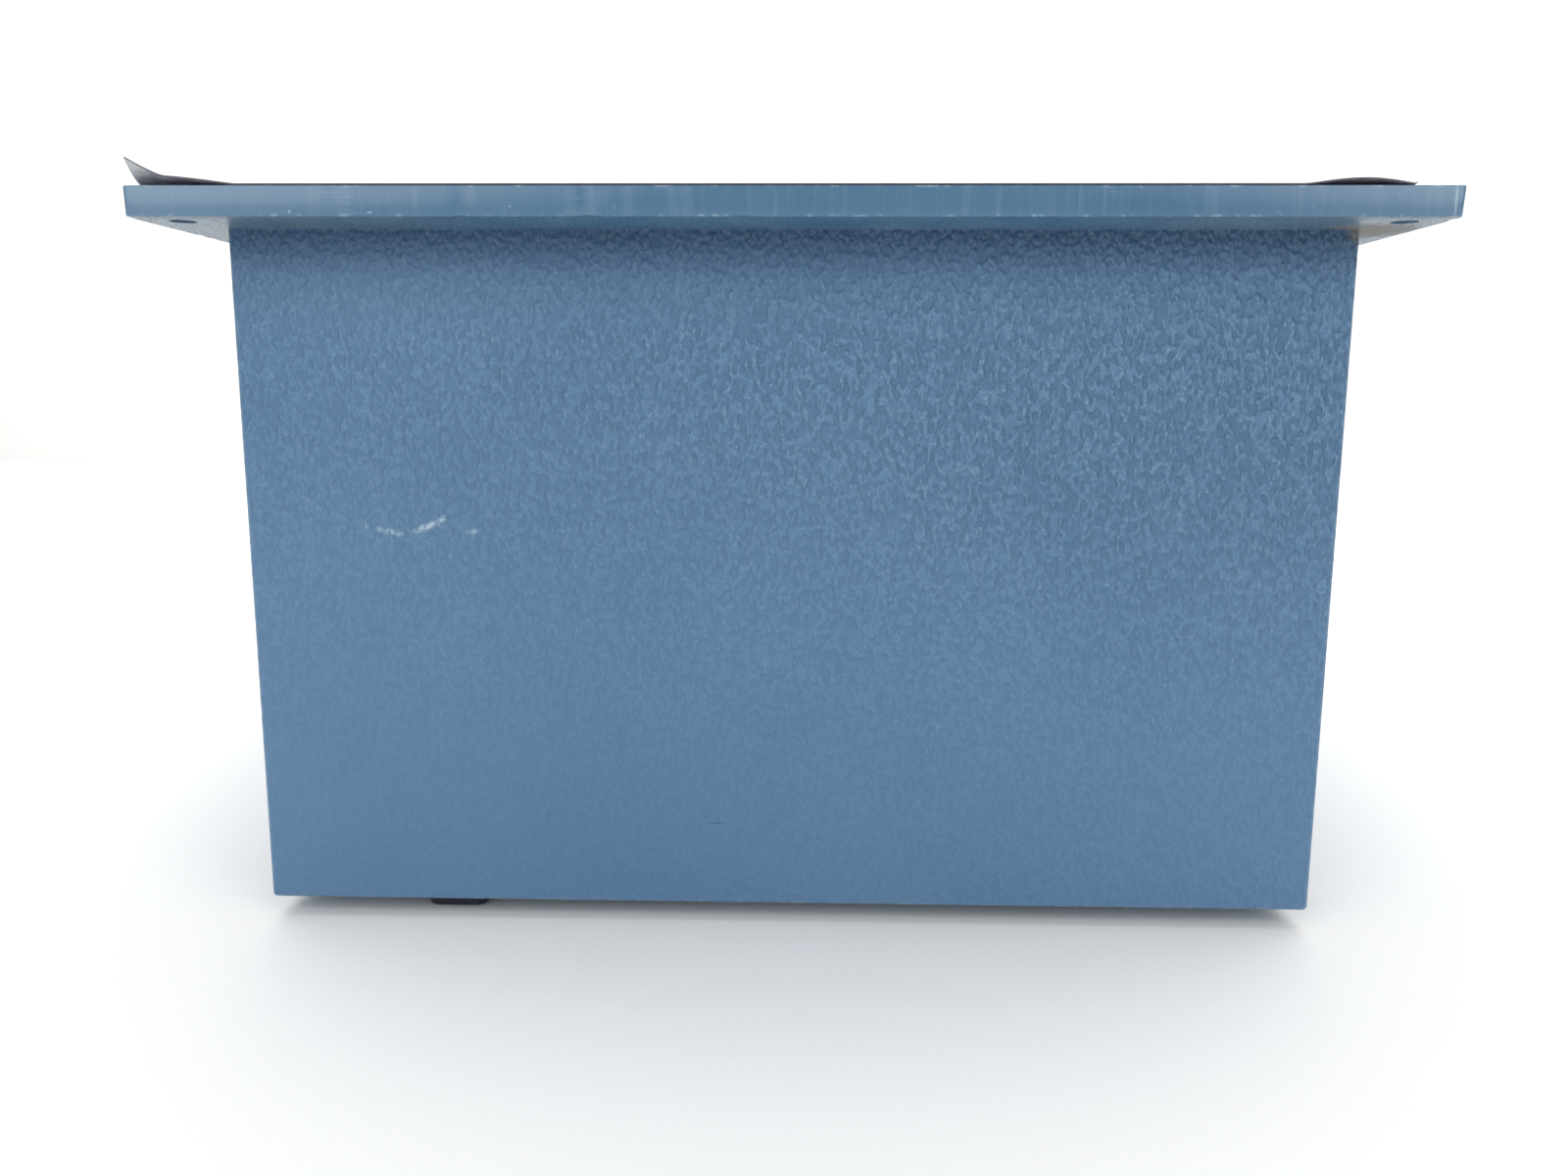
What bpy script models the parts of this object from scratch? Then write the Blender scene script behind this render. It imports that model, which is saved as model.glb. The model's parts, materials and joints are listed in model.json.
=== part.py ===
"""Flush meter socket enclosure with a lever bypass, lying on its back.

+Z points out of the front face, +X is the enclosure's right, and -Y is its plain end wall.
The origin is on the surface that the wall bosses stand on, under the middle of the plate.
All lengths are in metres.
"""

import math

import bmesh
import bpy
from mathutils import Matrix, Vector

# Driving dimensions
GAP = 0.0003
PLATE_WIDTH = 0.2794
PLATE_LENGTH = 0.3556
PLATE_THICKNESS = 0.00635
SIDE_OVERHANG = 0.0127
END_OVERHANG = 0.01905
BOX_DEPTH = 0.160
WALL = 0.0025
EDGE_RADIUS = 0.0012
LIP = 0.018
BOSS_HEIGHT = 0.0048
METER_THROAT_RADIUS = 0.0815
JAW_X = 0.035
JAW_Y = 0.047
BASE_TOP = 0.122
SHAFT_HEIGHT = 0.146
BYPASS_TRAVEL = 0.0044
BYPASS_TURN = math.radians(100)
LEVER_REST = math.radians(15)

# Derived levels and sizes
BOX_WIDTH = PLATE_WIDTH - 2 * SIDE_OVERHANG
BOX_LENGTH = PLATE_LENGTH - 2 * END_OVERHANG
BACK = BOSS_HEIGHT
FLOOR = BACK + WALL
FLANGE = BACK + BOX_DEPTH
FACE = FLANGE + PLATE_THICKNESS
STRAP_THICKNESS = 0.0032
STRAP_TOP = BASE_TOP + GAP + STRAP_THICKNESS
LOW_RUN = 0.0804
PHASE_LUG_FOOT = LOW_RUN + STRAP_THICKNESS / 2 + GAP
NEUTRAL_BAR_FOOT = 0.024
NEUTRAL_BAR_THICKNESS = 0.00635
NEUTRAL_LUG_FOOT = NEUTRAL_BAR_FOOT + NEUTRAL_BAR_THICKNESS + GAP
LUG_Y = 0.108
BRACKET_X = 0.052
BASE_SCREW_Y = 0.055

SIDES = {"left": -1, "right": 1}
ENDS = {"line": -1, "load": 1}

# An outline drawn in XY stands in the YZ plane, or in the XZ plane, after these turns
IN_YZ = (math.pi / 2, 0, math.pi / 2)
IN_XZ = (math.pi / 2, 0, 0)

PAINT = ("blue_leather_grain_paint", (0.065, 0.155, 0.235), 0.5, 0.0)
ALUMINIUM = ("aluminium", (0.42, 0.47, 0.5), 0.4, 0.9)
FILM = ("dark_film", (0.03, 0.035, 0.07), 0.35, 0.0)
STAINLESS = ("stainless_steel", (0.6, 0.6, 0.6), 0.3, 1.0)
ZINC = ("zinc_plated_steel", (0.55, 0.56, 0.55), 0.4, 1.0)
PHENOLIC = ("black_phenolic", (0.03, 0.028, 0.026), 0.5, 0.0)
TINNED = ("tinned_copper", (0.62, 0.6, 0.56), 0.35, 1.0)
COPPER = ("copper", (0.72, 0.35, 0.2), 0.35, 1.0)
NYLON = ("black_nylon", (0.02, 0.02, 0.025), 0.45, 0.0)
RED = ("red_plastic", (0.5, 0.03, 0.02), 0.4, 0.0)


def clear_scene():
    for obj in list(bpy.data.objects):
        bpy.data.objects.remove(obj, do_unlink=True)


def new_collection(name):
    made = bpy.data.collections.new(name)
    bpy.context.scene.collection.children.link(made)
    return made


def material(look):
    name, colour, roughness, metallic = look
    made = bpy.data.materials.get(name)
    if made is None:
        made = bpy.data.materials.new(name)
        made.use_nodes = True
        shader = made.node_tree.nodes["Principled BSDF"]
        shader.inputs["Base Color"].default_value = (*colour, 1)
        shader.inputs["Roughness"].default_value = roughness
        shader.inputs["Metallic"].default_value = metallic
    return made


clear_scene()
PARTS = new_collection("meter_socket_enclosure")
HELPERS = new_collection("helpers")


def part(name, mesh, look, place=(0, 0, 0), turn=(0, 0, 0)):
    mesh.materials.clear()
    mesh.materials.append(material(look))
    mesh.shade_smooth()
    mesh.set_sharp_from_angle(angle=math.radians(35))
    obj = bpy.data.objects.new(name, mesh)
    obj.location = place
    obj.rotation_euler = turn
    PARTS.objects.link(obj)
    return obj


def helper(name, mesh, place=(0, 0, 0), turn=(0, 0, 0)):
    obj = bpy.data.objects.new(name, mesh)
    obj.location = place
    obj.rotation_euler = turn
    obj.hide_render = True
    obj.display_type = "WIRE"
    HELPERS.objects.link(obj)
    return obj


def mesh_from(name, bm):
    mesh = bpy.data.meshes.new(name)
    bm.to_mesh(mesh)
    bm.free()
    return mesh


def evaluated_mesh(obj):
    """The mesh that the object's modifiers make, with the object removed."""
    bpy.context.view_layer.update()
    graph = bpy.context.evaluated_depsgraph_get()
    mesh = bpy.data.meshes.new_from_object(obj.evaluated_get(graph))
    bpy.data.objects.remove(obj, do_unlink=True)
    return mesh


def weld(mesh, distance=1e-6):
    bm = bmesh.new()
    bm.from_mesh(mesh)
    bmesh.ops.remove_doubles(bm, verts=bm.verts, dist=distance)
    bmesh.ops.recalc_face_normals(bm, faces=bm.faces)
    bm.to_mesh(mesh)
    bm.free()
    return mesh


def add_box(bm, size, centre):
    shape = Matrix.Translation(centre) @ Matrix.Diagonal((*size, 1))
    bmesh.ops.create_cube(bm, size=1, matrix=shape)


def add_cylinder(bm, radius, length, centre, axis="Z", top_radius=None, segments=16):
    quarter = math.pi / 2
    turns = {"X": Matrix.Rotation(quarter, 4, "Y"), "Y": Matrix.Rotation(quarter, 4, "X"), "Z": Matrix()}
    bmesh.ops.create_cone(
        bm,
        cap_ends=True,
        segments=segments,
        radius1=radius,
        radius2=radius if top_radius is None else top_radius,
        depth=length,
        matrix=Matrix.Translation(centre) @ turns[axis],
    )


def boxes(name, shapes):
    """One mesh of several (size, centre) boxes."""
    bm = bmesh.new()
    for size, centre in shapes:
        add_box(bm, size, centre)
    return mesh_from(name, bm)


def rounded_block(name, size, radius, segments=2):
    """A block with its upright edges rounded."""
    bm = bmesh.new()
    add_box(bm, size, (0, 0, 0))
    upright = [e for e in bm.edges if abs(e.verts[0].co.z - e.verts[1].co.z) > size[2] / 2]
    bmesh.ops.bevel(bm, geom=upright, offset=radius, segments=segments, affect="EDGES", profile=0.5)
    return mesh_from(name, bm)


def turned(name, profile, steps=16, ring=False):
    """A solid turned about Z from (radius, height) points, listed down the outer side."""
    mesh = bpy.data.meshes.new(name)
    count = len(profile)
    links = [(i, i + 1) for i in range(count - 1)]
    if ring:
        links.append((count - 1, 0))
    mesh.from_pydata([(radius, 0, height) for radius, height in profile], links, [])
    blank = helper(name + "_blank", mesh)
    screw = blank.modifiers.new("turn", "SCREW")
    screw.axis = "Z"
    screw.angle = 2 * math.pi
    screw.steps = steps
    screw.render_steps = steps
    screw.use_merge_vertices = True
    screw.merge_threshold = 0.000001
    return evaluated_mesh(blank)


def outline(name, points, depth):
    """A flat outline in XY, filled and made solid to this depth about Z = 0."""
    curve = bpy.data.curves.new(name, "CURVE")
    curve.dimensions = "2D"
    curve.fill_mode = "BOTH"
    curve.extrude = depth / 2
    spline = curve.splines.new("POLY")
    spline.points.add(len(points) - 1)
    for point, (x, y) in zip(spline.points, points):
        point.co = (x, y, 0, 1)
    spline.use_cyclic_u = True
    return weld(evaluated_mesh(helper(name + "_outline", curve)))


def arc(centre, radius, start, end, steps):
    """Points on an arc, with its angles in degrees."""
    turns = [math.radians(start + (end - start) * i / steps) for i in range(steps + 1)]
    return [(centre[0] + radius * math.cos(a), centre[1] + radius * math.sin(a)) for a in turns]


def offset_path(path, distance):
    """The path moved sideways by this distance, with mitred corners."""
    points = [Vector(p) for p in path]
    moved = []
    for i, point in enumerate(points):
        before = (point - points[i - 1]).normalized() if i else None
        after = (points[i + 1] - point).normalized() if i + 1 < len(points) else None
        sides = [Vector((-d.y, d.x)) for d in (before, after) if d is not None]
        middle = sum(sides, Vector((0, 0))).normalized()
        moved.append(point + middle * distance / middle.dot(sides[0]))
    return [tuple(p) for p in moved]


def bent_strip(name, path, thickness, width):
    """Sheet metal bent along a centre line in XY, and this wide along Z."""
    left = offset_path(path, thickness / 2)
    right = offset_path(path, -thickness / 2)
    return outline(name, left + right[::-1], width)


def boolean(obj, other, operation="DIFFERENCE"):
    modifier = obj.modifiers.new(other.name, "BOOLEAN")
    modifier.operation = operation
    modifier.solver = "EXACT"
    modifier.object = other


def cylinders(name, shapes, segments=16):
    """A helper mesh of (radius, length, centre, axis) cylinders."""
    bm = bmesh.new()
    for radius, length, centre, axis in shapes:
        add_cylinder(bm, radius, length, centre, axis, segments=segments)
    return helper(name, mesh_from(name, bm))


# Enclosure

BOSS_X, BOSS_Y = 0.075, 0.115
BOSS_HOLE_RADIUS = 0.0035
FACE_SCREW_X = BOX_WIDTH / 2 - 0.0105
FACE_SCREW_Y = BOX_LENGTH / 2 - 0.0105
BUSHING_X, BUSHING_Y = -0.0831, -0.1439
BUSHING_HOLE_RADIUS = 0.0066
CORNERS = [(sx, sy) for sy in (-1, 1) for sx in (-1, 1)]


def knockout_groove(name, radius, place, turn):
    """A cutter for the round scored groove of a knock-out, in a wall's outer face."""
    depth, width = 0.001, 0.0012
    profile = [(radius, depth), (radius, -depth), (radius - width, -depth), (radius - width, depth)]
    return helper(name, turned(name, profile, 24, ring=True), place, turn)


def make_box_shell():
    height = BOX_DEPTH - GAP
    bm = bmesh.new()
    add_box(bm, (BOX_WIDTH, BOX_LENGTH, height), (0, 0, BACK + height / 2))
    top = max(bm.faces, key=lambda f: f.calc_center_median().z)
    bmesh.ops.inset_region(bm, faces=[top], thickness=LIP, use_even_offset=True)
    bmesh.ops.delete(bm, geom=[top], context="FACES")
    lip_level = BACK + height - 1e-6
    rounded = [e for e in bm.edges if min(v.co.z for v in e.verts) < lip_level]
    bmesh.ops.bevel(bm, geom=rounded, offset=EDGE_RADIUS, segments=2, affect="EDGES", profile=0.5)
    shell = part("box_shell", mesh_from("box_shell", bm), PAINT)
    solid = shell.modifiers.new("sheet", "SOLIDIFY")
    solid.thickness = WALL
    solid.offset = -1
    solid.use_even_offset = True

    sunk = 0.001
    bosses = bmesh.new()
    for sx, sy in CORNERS:
        centre = (sx * BOSS_X, sy * BOSS_Y, (BOSS_HEIGHT + sunk) / 2)
        add_cylinder(bosses, 0.010, BOSS_HEIGHT + sunk, centre, top_radius=0.015)
    boolean(shell, helper("bosses", mesh_from("bosses", bosses)), "UNION")
    holes = [(BOSS_HOLE_RADIUS, 0.03, (sx * BOSS_X, sy * BOSS_Y, 0), "Z") for sx, sy in CORNERS]
    holes += [(0.0025, 0.02, (sx * FACE_SCREW_X, sy * FACE_SCREW_Y, FLANGE), "Z") for sx, sy in CORNERS]
    holes.append((BUSHING_HOLE_RADIUS, 0.02, (BUSHING_X, BUSHING_Y, BACK), "Z"))
    boolean(shell, cylinders("shell_holes", holes))
    end, side = BOX_LENGTH / 2, BOX_WIDTH / 2
    end_turn, side_turn = (math.pi / 2, 0, 0), (0, math.pi / 2, 0)
    grooves = [(0.031, (0, end, 0.085), end_turn)]
    grooves += [(0.017, (x, end, 0.085), end_turn) for x in (-0.075, 0.075)]
    grooves += [(0.017, (x, 0.095, 0.06), side_turn) for x in (-side, side)]
    for number, (radius, place, turn) in enumerate(grooves, 1):
        boolean(shell, knockout_groove(f"knockout_{number}", radius, place, turn))


def make_rear_bushing():
    """A squared, tapered flange under the back, with a round barrel up through it."""
    head_top, barrel_top, taper = BACK - GAP, 0.0155, 0.84
    width, length, height = 0.0152, 0.0170, head_top - GAP
    flange = rounded_block("rear_bushing", (width, length, height), 0.003, segments=3)
    for vert in flange.vertices:
        if vert.co.z < 0:
            vert.co.x *= taper
            vert.co.y *= taper
    bushing = part("rear_bushing", flange, NYLON, (BUSHING_X, BUSHING_Y, GAP + height / 2))
    sunk = 0.001
    barrel = barrel_top - head_top + sunk
    place = (BUSHING_X, BUSHING_Y, barrel_top - barrel / 2)
    boolean(bushing, cylinders("bushing_barrel", [(0.0063, barrel, place, "Z")], 20), "UNION")
    boolean(bushing, cylinders("bushing_bore", [(0.0035, 0.04, place, "Z")], 20))
    height, across_corners = 0.005, 0.0092
    bm = bmesh.new()
    add_cylinder(bm, across_corners, height, (0, 0, 0), segments=6)
    place = (BUSHING_X, BUSHING_Y, FLOOR + GAP + height / 2)
    nut = part("rear_bushing_nut", mesh_from("rear_bushing_nut", bm), NYLON, place)
    boolean(nut, cylinders("nut_hole", [(BUSHING_HOLE_RADIUS, 0.02, place, "Z")]))


def make_support_brackets():
    thickness, width = 0.0025, 0.018
    leg, foot_end = 0.062, 0.084
    low = FLOOR + GAP + thickness / 2
    high = BASE_TOP - 0.014 - GAP - thickness / 2
    half = [(leg, high), (leg, low), (foot_end, low)]
    path = [(-y, z) for y, z in half[::-1]] + half
    for side, sign in SIDES.items():
        mesh = bent_strip(f"support_bracket_{side}", path, thickness, width)
        bracket = part(mesh.name, mesh, ZINC, (sign * BRACKET_X, 0, 0), IN_YZ)
        tapped = [(0.0025, 0.02, (sign * BRACKET_X, y, high), "Z") for y in (-BASE_SCREW_Y, BASE_SCREW_Y)]
        boolean(bracket, cylinders(f"bracket_holes_{side}", tapped, 10))


def make_jaw_base():
    thickness, width, length = 0.014, 0.124, 0.156
    base = part(
        "jaw_base",
        rounded_block("jaw_base", (width, length, thickness), 0.006),
        PHENOLIC,
        (0, 0, BASE_TOP - thickness / 2),
    )
    root, rib_top = BASE_TOP - 0.002, BASE_TOP + 0.020
    ribs = [
        ((0.003, 0.062, rib_top - root), (0, y, (rib_top + root) / 2)) for y in (-0.045, 0.045)
    ]
    boolean(base, helper("barrier_ribs", boxes("barrier_ribs", ribs)), "UNION")
    post_top = SHAFT_HEIGHT - 0.0045 - 0.0007
    posts = [
        (0.0022, post_top - root, (x, 0, (post_top + root) / 2), "Z") for x in (-GUIDE_X, GUIDE_X)
    ]
    boolean(base, cylinders("guide_posts", posts, 12), "UNION")
    holes = [
        (0.0028, 0.04, (sx * BRACKET_X, sy * BASE_SCREW_Y, BASE_TOP), "Z") for sx, sy in CORNERS
    ]
    boolean(base, cylinders("base_screw_holes", holes, 10))


def pan_screw(name, head_radius, head_height, shank_radius, shank_length, slot_width):
    """A slotted pan-head screw, with the underside of its head at Z = 0."""
    profile = [
        (0, head_height),
        (head_radius * 0.75, head_height),
        (head_radius, head_height * 0.5),
        (head_radius, 0),
        (shank_radius, 0),
        (shank_radius, -shank_length),
        (0, -shank_length),
    ]
    blank = helper(name + "_body", turned(name, profile, 12))
    size = (head_radius * 3, slot_width, head_height)
    boolean(blank, helper(name + "_slot", boxes(name + "_slot", [(size, (0, 0, head_height))])))
    return evaluated_mesh(blank)


def make_base_screws():
    mesh = pan_screw("base_screw", 0.004, 0.0026, 0.0021, 0.018, 0.001)
    for number, (sx, sy) in enumerate(CORNERS, 1):
        place = (sx * BRACKET_X, sy * BASE_SCREW_Y, BASE_TOP + GAP)
        part(f"base_screw_{number}", mesh, ZINC, place)


# Current path

JAW_HEIGHT = 0.0355
LEAF = 0.0016
BLADE_SLOT = 0.0025
LUG_SIZE = (0.026, 0.032, 0.030)
WIRE_RADIUS = 0.00775
WIRE_HEIGHT = 0.011
CLAMP_RADIUS = 0.0058


def make_jaw(name):
    """Two sprung leaves on a foot, pinched near the top and flared at the mouth."""
    pinch = BLADE_SLOT / 2 + LEAF / 2
    right = [
        (0.0090, LEAF / 2),
        (0.0090, 0.0150),
        (pinch, 0.0220),
        (pinch, 0.0300),
        (0.0056, JAW_HEIGHT),
    ]
    path = [(-x, z) for x, z in right[::-1]] + right
    return bent_strip(name, path, LEAF, 0.020)


def make_jaw_spring(name):
    """A steel C-shaped band round both leaves, seen in plan, with its joint on one side."""
    thickness = 0.0009
    x, y = BLADE_SLOT / 2 + LEAF + GAP + thickness / 2, 0.0112
    path = [(x, 0.002), (x, y), (-x, y), (-x, -y), (x, -y), (x, -0.002)]
    return bent_strip(name, path, thickness, 0.005)


def make_jaws():
    for end, sy in ENDS.items():
        for side, sx in SIDES.items():
            place = (sx * JAW_X, sy * JAW_Y, STRAP_TOP + GAP)
            jaw = make_jaw(f"{end}_jaw_{side}")
            part(jaw.name, jaw, TINNED, place, IN_XZ)
            band = make_jaw_spring(f"{end}_jaw_spring_{side}")
            part(band.name, band, STAINLESS, (place[0], place[1], place[2] + 0.0262))


def make_straps():
    top = STRAP_TOP - STRAP_THICKNESS / 2
    path = [(0.017, top), (0.0835, top), (0.0835, LOW_RUN), (0.126, LOW_RUN)]
    for end, sy in ENDS.items():
        for side, sx in SIDES.items():
            name = f"{end}_strap_{side}"
            mesh = bent_strip(name, [(sy * y, z) for y, z in path], STRAP_THICKNESS, 0.024)
            part(name, mesh, COPPER, (sx * JAW_X, 0, 0), IN_YZ)


def make_lug(name, size, wire_radius, wire_height, clamp_radius):
    """A lug block, its foot at Z = 0, with a wire hole along Y and a clamp screw hole above it."""
    length, height = size[1:]
    bm = bmesh.new()
    add_box(bm, size, (0, 0, height / 2))
    top = [e for e in bm.edges if min(v.co.z for v in e.verts) > height / 2]
    long_top = [e for e in top if abs(e.verts[0].co.x - e.verts[1].co.x) < 1e-6]
    bmesh.ops.bevel(bm, geom=long_top, offset=0.004, segments=2, affect="EDGES", profile=0.5)
    blank = helper(name + "_blank", mesh_from(name, bm))
    wire_hole = [(wire_radius, length * 2, (0, 0, wire_height), "Y")]
    boolean(blank, cylinders(name + "_wire_hole", wire_hole))
    screw_hole = [(clamp_radius + GAP, height, (0, 0, wire_height + height / 2), "Z")]
    boolean(blank, cylinders(name + "_screw_hole", screw_hole))
    return evaluated_mesh(blank)


def make_clamp_screw(name, radius, length):
    """A headless screw with a hexagon socket, its lower end at Z = 0."""
    chamfer = radius * 0.15
    profile = [
        (0, length),
        (radius - chamfer, length),
        (radius, length - chamfer),
        (radius, chamfer),
        (radius - chamfer, 0),
        (0, 0),
    ]
    blank = helper(name + "_blank", turned(name, profile, 16))
    socket_depth = length * 0.5
    centre = (0, 0, length)
    boolean(blank, cylinders(name + "_socket", [(radius * 0.55, socket_depth * 2, centre, "Z")], 6))
    return evaluated_mesh(blank)


def make_lugs():
    lug = make_lug("wire_lug", LUG_SIZE, WIRE_RADIUS, WIRE_HEIGHT, CLAMP_RADIUS)
    screw = make_clamp_screw("lug_screw", CLAMP_RADIUS, 0.014)
    tip = WIRE_HEIGHT + WIRE_RADIUS + 0.0006
    for end, sy in ENDS.items():
        for side, sx in SIDES.items():
            place = Vector((sx * JAW_X, sy * LUG_Y, PHASE_LUG_FOOT))
            part(f"{end}_lug_{side}", lug, ALUMINIUM, place)
            part(f"{end}_lug_screw_{side}", screw, ZINC, place + Vector((0, 0, tip)))
        place = Vector((0, sy * LUG_Y, NEUTRAL_LUG_FOOT))
        part(f"neutral_lug_{end}", lug, ALUMINIUM, place)
        part(f"neutral_lug_screw_{end}", screw, ZINC, place + Vector((0, 0, tip)))


def make_neutral():
    size = (0.0254, 0.248, NEUTRAL_BAR_THICKNESS)
    place = (0, 0, NEUTRAL_BAR_FOOT + NEUTRAL_BAR_THICKNESS / 2)
    part("neutral_bar", rounded_block("neutral_bar", size, 0.004), TINNED, place)
    low, high = FLOOR + GAP, NEUTRAL_BAR_FOOT - GAP
    bm = bmesh.new()
    add_cylinder(bm, 0.008, high - low, (0, 0, 0), segments=6)
    post = mesh_from("neutral_post", bm)
    for end, sy in ENDS.items():
        part(f"neutral_post_{end}", post, ZINC, (0, sy * 0.05, (low + high) / 2))


def make_ground_lug():
    place = Vector((0.098, 0.06, FLOOR + GAP))
    lug = make_lug("ground_lug", (0.018, 0.024, 0.018), 0.0042, 0.0065, 0.0038)
    part("ground_lug", lug, ALUMINIUM, place)
    screw = make_clamp_screw("ground_lug_screw", 0.0038, 0.009)
    part("ground_lug_screw", screw, ZINC, place + Vector((0, 0, 0.0113)))


# Lever bypass

SHAFT_RADIUS = 0.0045
CAM_REST = 0.0055
CAM_RATE = BYPASS_TRAVEL / BYPASS_TURN
CAM_X = 0.018
GUIDE_X = 0.0065
BEARING_X = 0.052
LEVER_X = 0.0637
LEVER_REACH = 0.034
LEVER_THICKNESS = 0.005
CARRIAGE_TOP = SHAFT_HEIGHT - CAM_REST - GAP
CARRIAGE_THICKNESS = 0.0057
CONTACT_THICKNESS = 0.0032


def cam_points():
    """A cam whose reach towards the carriage grows evenly as the lever turns."""
    points = []
    steps = 14
    for i in range(steps + 1):
        turn = BYPASS_TURN * 1.05 * i / steps
        reach = CAM_REST + CAM_RATE * turn
        angle = turn - math.pi / 2
        normal = Vector((math.cos(angle), math.sin(angle)))
        tangent = Vector((-normal.y, normal.x))
        points.append(tuple(normal * reach + tangent * CAM_RATE))
    return points + arc((0, 0), CAM_REST, 110, 270, 8)


def make_bypass_shaft():
    start, end = -0.058, LEVER_X - LEVER_THICKNESS / 2 - GAP
    bm = bmesh.new()
    add_cylinder(bm, SHAFT_RADIUS, end - start, ((start + end) / 2, 0, 0), "X")
    shaft = part("bypass_shaft", mesh_from("bypass_shaft", bm), NYLON, (0, 0, SHAFT_HEIGHT))
    for side, sign in SIDES.items():
        cam = outline(f"bypass_cam_{side}", cam_points(), 0.008)
        boolean(shaft, helper(cam.name, cam, (sign * CAM_X, 0, SHAFT_HEIGHT), IN_YZ), "UNION")


def make_bearings():
    foot, top, half = BASE_TOP + GAP, 0.153, 0.009
    height = top - foot
    for side, sign in SIDES.items():
        points = [(-half, 0), (half, 0), (half, height - half)]
        points += arc((0, height - half), half, 15, 165, 8) + [(-half, height - half)]
        mesh = outline(f"bypass_bearing_{side}", points, 0.007)
        bearing = part(mesh.name, mesh, PHENOLIC, (sign * BEARING_X, 0, foot), IN_YZ)
        hole = [(SHAFT_RADIUS + GAP, 0.03, (sign * BEARING_X, 0, SHAFT_HEIGHT), "X")]
        boolean(bearing, cylinders(f"bearing_hole_{side}", hole))


def make_lever():
    """The lever's outline is drawn with its arm along X, then turned to its rest angle."""
    hub, tip = 0.0075, 0.0045
    points = arc((0, 0), hub, 60, 300, 12) + arc((LEVER_REACH, 0), tip, -70, 70, 8)
    rest = math.pi - LEVER_REST
    at_rest = Matrix.Rotation(rest, 2)
    mesh = outline("bypass_lever", [tuple(at_rest @ Vector(p)) for p in points], LEVER_THICKNESS)
    part("bypass_lever", mesh, ZINC, (LEVER_X, 0, SHAFT_HEIGHT), IN_YZ)
    length, radius, edge = 0.0114, 0.005, 0.001
    profile = [
        (0, length / 2),
        (radius - edge, length / 2),
        (radius, length / 2 - edge),
        (radius, edge - length / 2),
        (radius - edge, -length / 2),
        (0, -length / 2),
    ]
    grip_x = LEVER_X - LEVER_THICKNESS / 2 - GAP - length / 2
    grip_y, grip_z = LEVER_REACH * math.cos(rest), SHAFT_HEIGHT + LEVER_REACH * math.sin(rest)
    grip = turned("lever_grip", profile, 16)
    part("lever_grip", grip, RED, (grip_x, grip_y, grip_z), (0, math.pi / 2, 0))


def make_carriage():
    middle = CARRIAGE_TOP - CARRIAGE_THICKNESS / 2
    bm = bmesh.new()
    add_box(bm, (0.093, 0.016, CARRIAGE_THICKNESS), (0, 0, 0))
    carriage = part("bypass_carriage", mesh_from("bypass_carriage", bm), PHENOLIC, (0, 0, middle))
    holes = [(0.0026, 0.02, (x, 0, middle), "Z") for x in (-GUIDE_X, GUIDE_X)]
    boolean(carriage, cylinders("carriage_holes", holes, 12))
    bar_middle = CARRIAGE_TOP - CARRIAGE_THICKNESS - GAP - CONTACT_THICKNESS / 2
    reach, pad = 0.0265, 0.001
    half = CONTACT_THICKNESS / 2
    side = [(reach, half), (reach, -half - pad), (reach - 0.006, -half - pad), (reach - 0.007, -half)]
    points = [(-y, z) for y, z in side[::-1]] + side
    for name, sign in SIDES.items():
        mesh = outline(f"bypass_contact_{name}", points[::-1], 0.014)
        part(mesh.name, mesh, TINNED, (sign * JAW_X, 0, bar_middle), IN_YZ)


def make_return_springs():
    """Compression springs round the guide posts, between the base and the carriage."""
    wire, coil, turns, steps = 0.00045, 0.0037, 4, 8
    low = BASE_TOP + GAP + wire
    high = CARRIAGE_TOP - CARRIAGE_THICKNESS - GAP - wire
    for side, sign in SIDES.items():
        curve = bpy.data.curves.new(f"bypass_spring_{side}", "CURVE")
        curve.dimensions = "3D"
        curve.bevel_depth = wire
        curve.bevel_resolution = 1
        curve.use_fill_caps = True
        spline = curve.splines.new("POLY")
        count = int(turns * steps)
        spline.points.add(count)
        for i, point in enumerate(spline.points):
            angle = 2 * math.pi * i / steps
            height = low + (high - low) * i / count
            point.co = (coil * math.cos(angle), coil * math.sin(angle), height, 1)
        mesh = weld(evaluated_mesh(helper(curve.name + "_path", curve)))
        part(curve.name, mesh, STAINLESS, (sign * GUIDE_X, 0, 0))


# Cover

MOUNT_HOLE_RADIUS = 0.0028
MOUNT_HOLE_X = PLATE_WIDTH / 2 - 0.0086
MOUNT_HOLE_Y = PLATE_LENGTH / 2 - 0.0080
FACE_SCREW_HEAD = 0.0046
FILM_THICKNESS = 0.00035
FILM_LEFT, FILM_RIGHT = -PLATE_WIDTH / 2 + 0.001, PLATE_WIDTH / 2 - 0.0097
TIP_RISE, TIP_LENGTH = 0.0035, 0.008
SHELF_RISE, SHELF_LENGTH = 0.0019, 0.023
CURL_DEPTH = 0.009
BUCKLE_X, BUCKLE_HALF_WIDTH, BUCKLE_DEPTH, BUCKLE_RISE = 0.1190, 0.0125, 0.030, 0.0011


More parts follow.
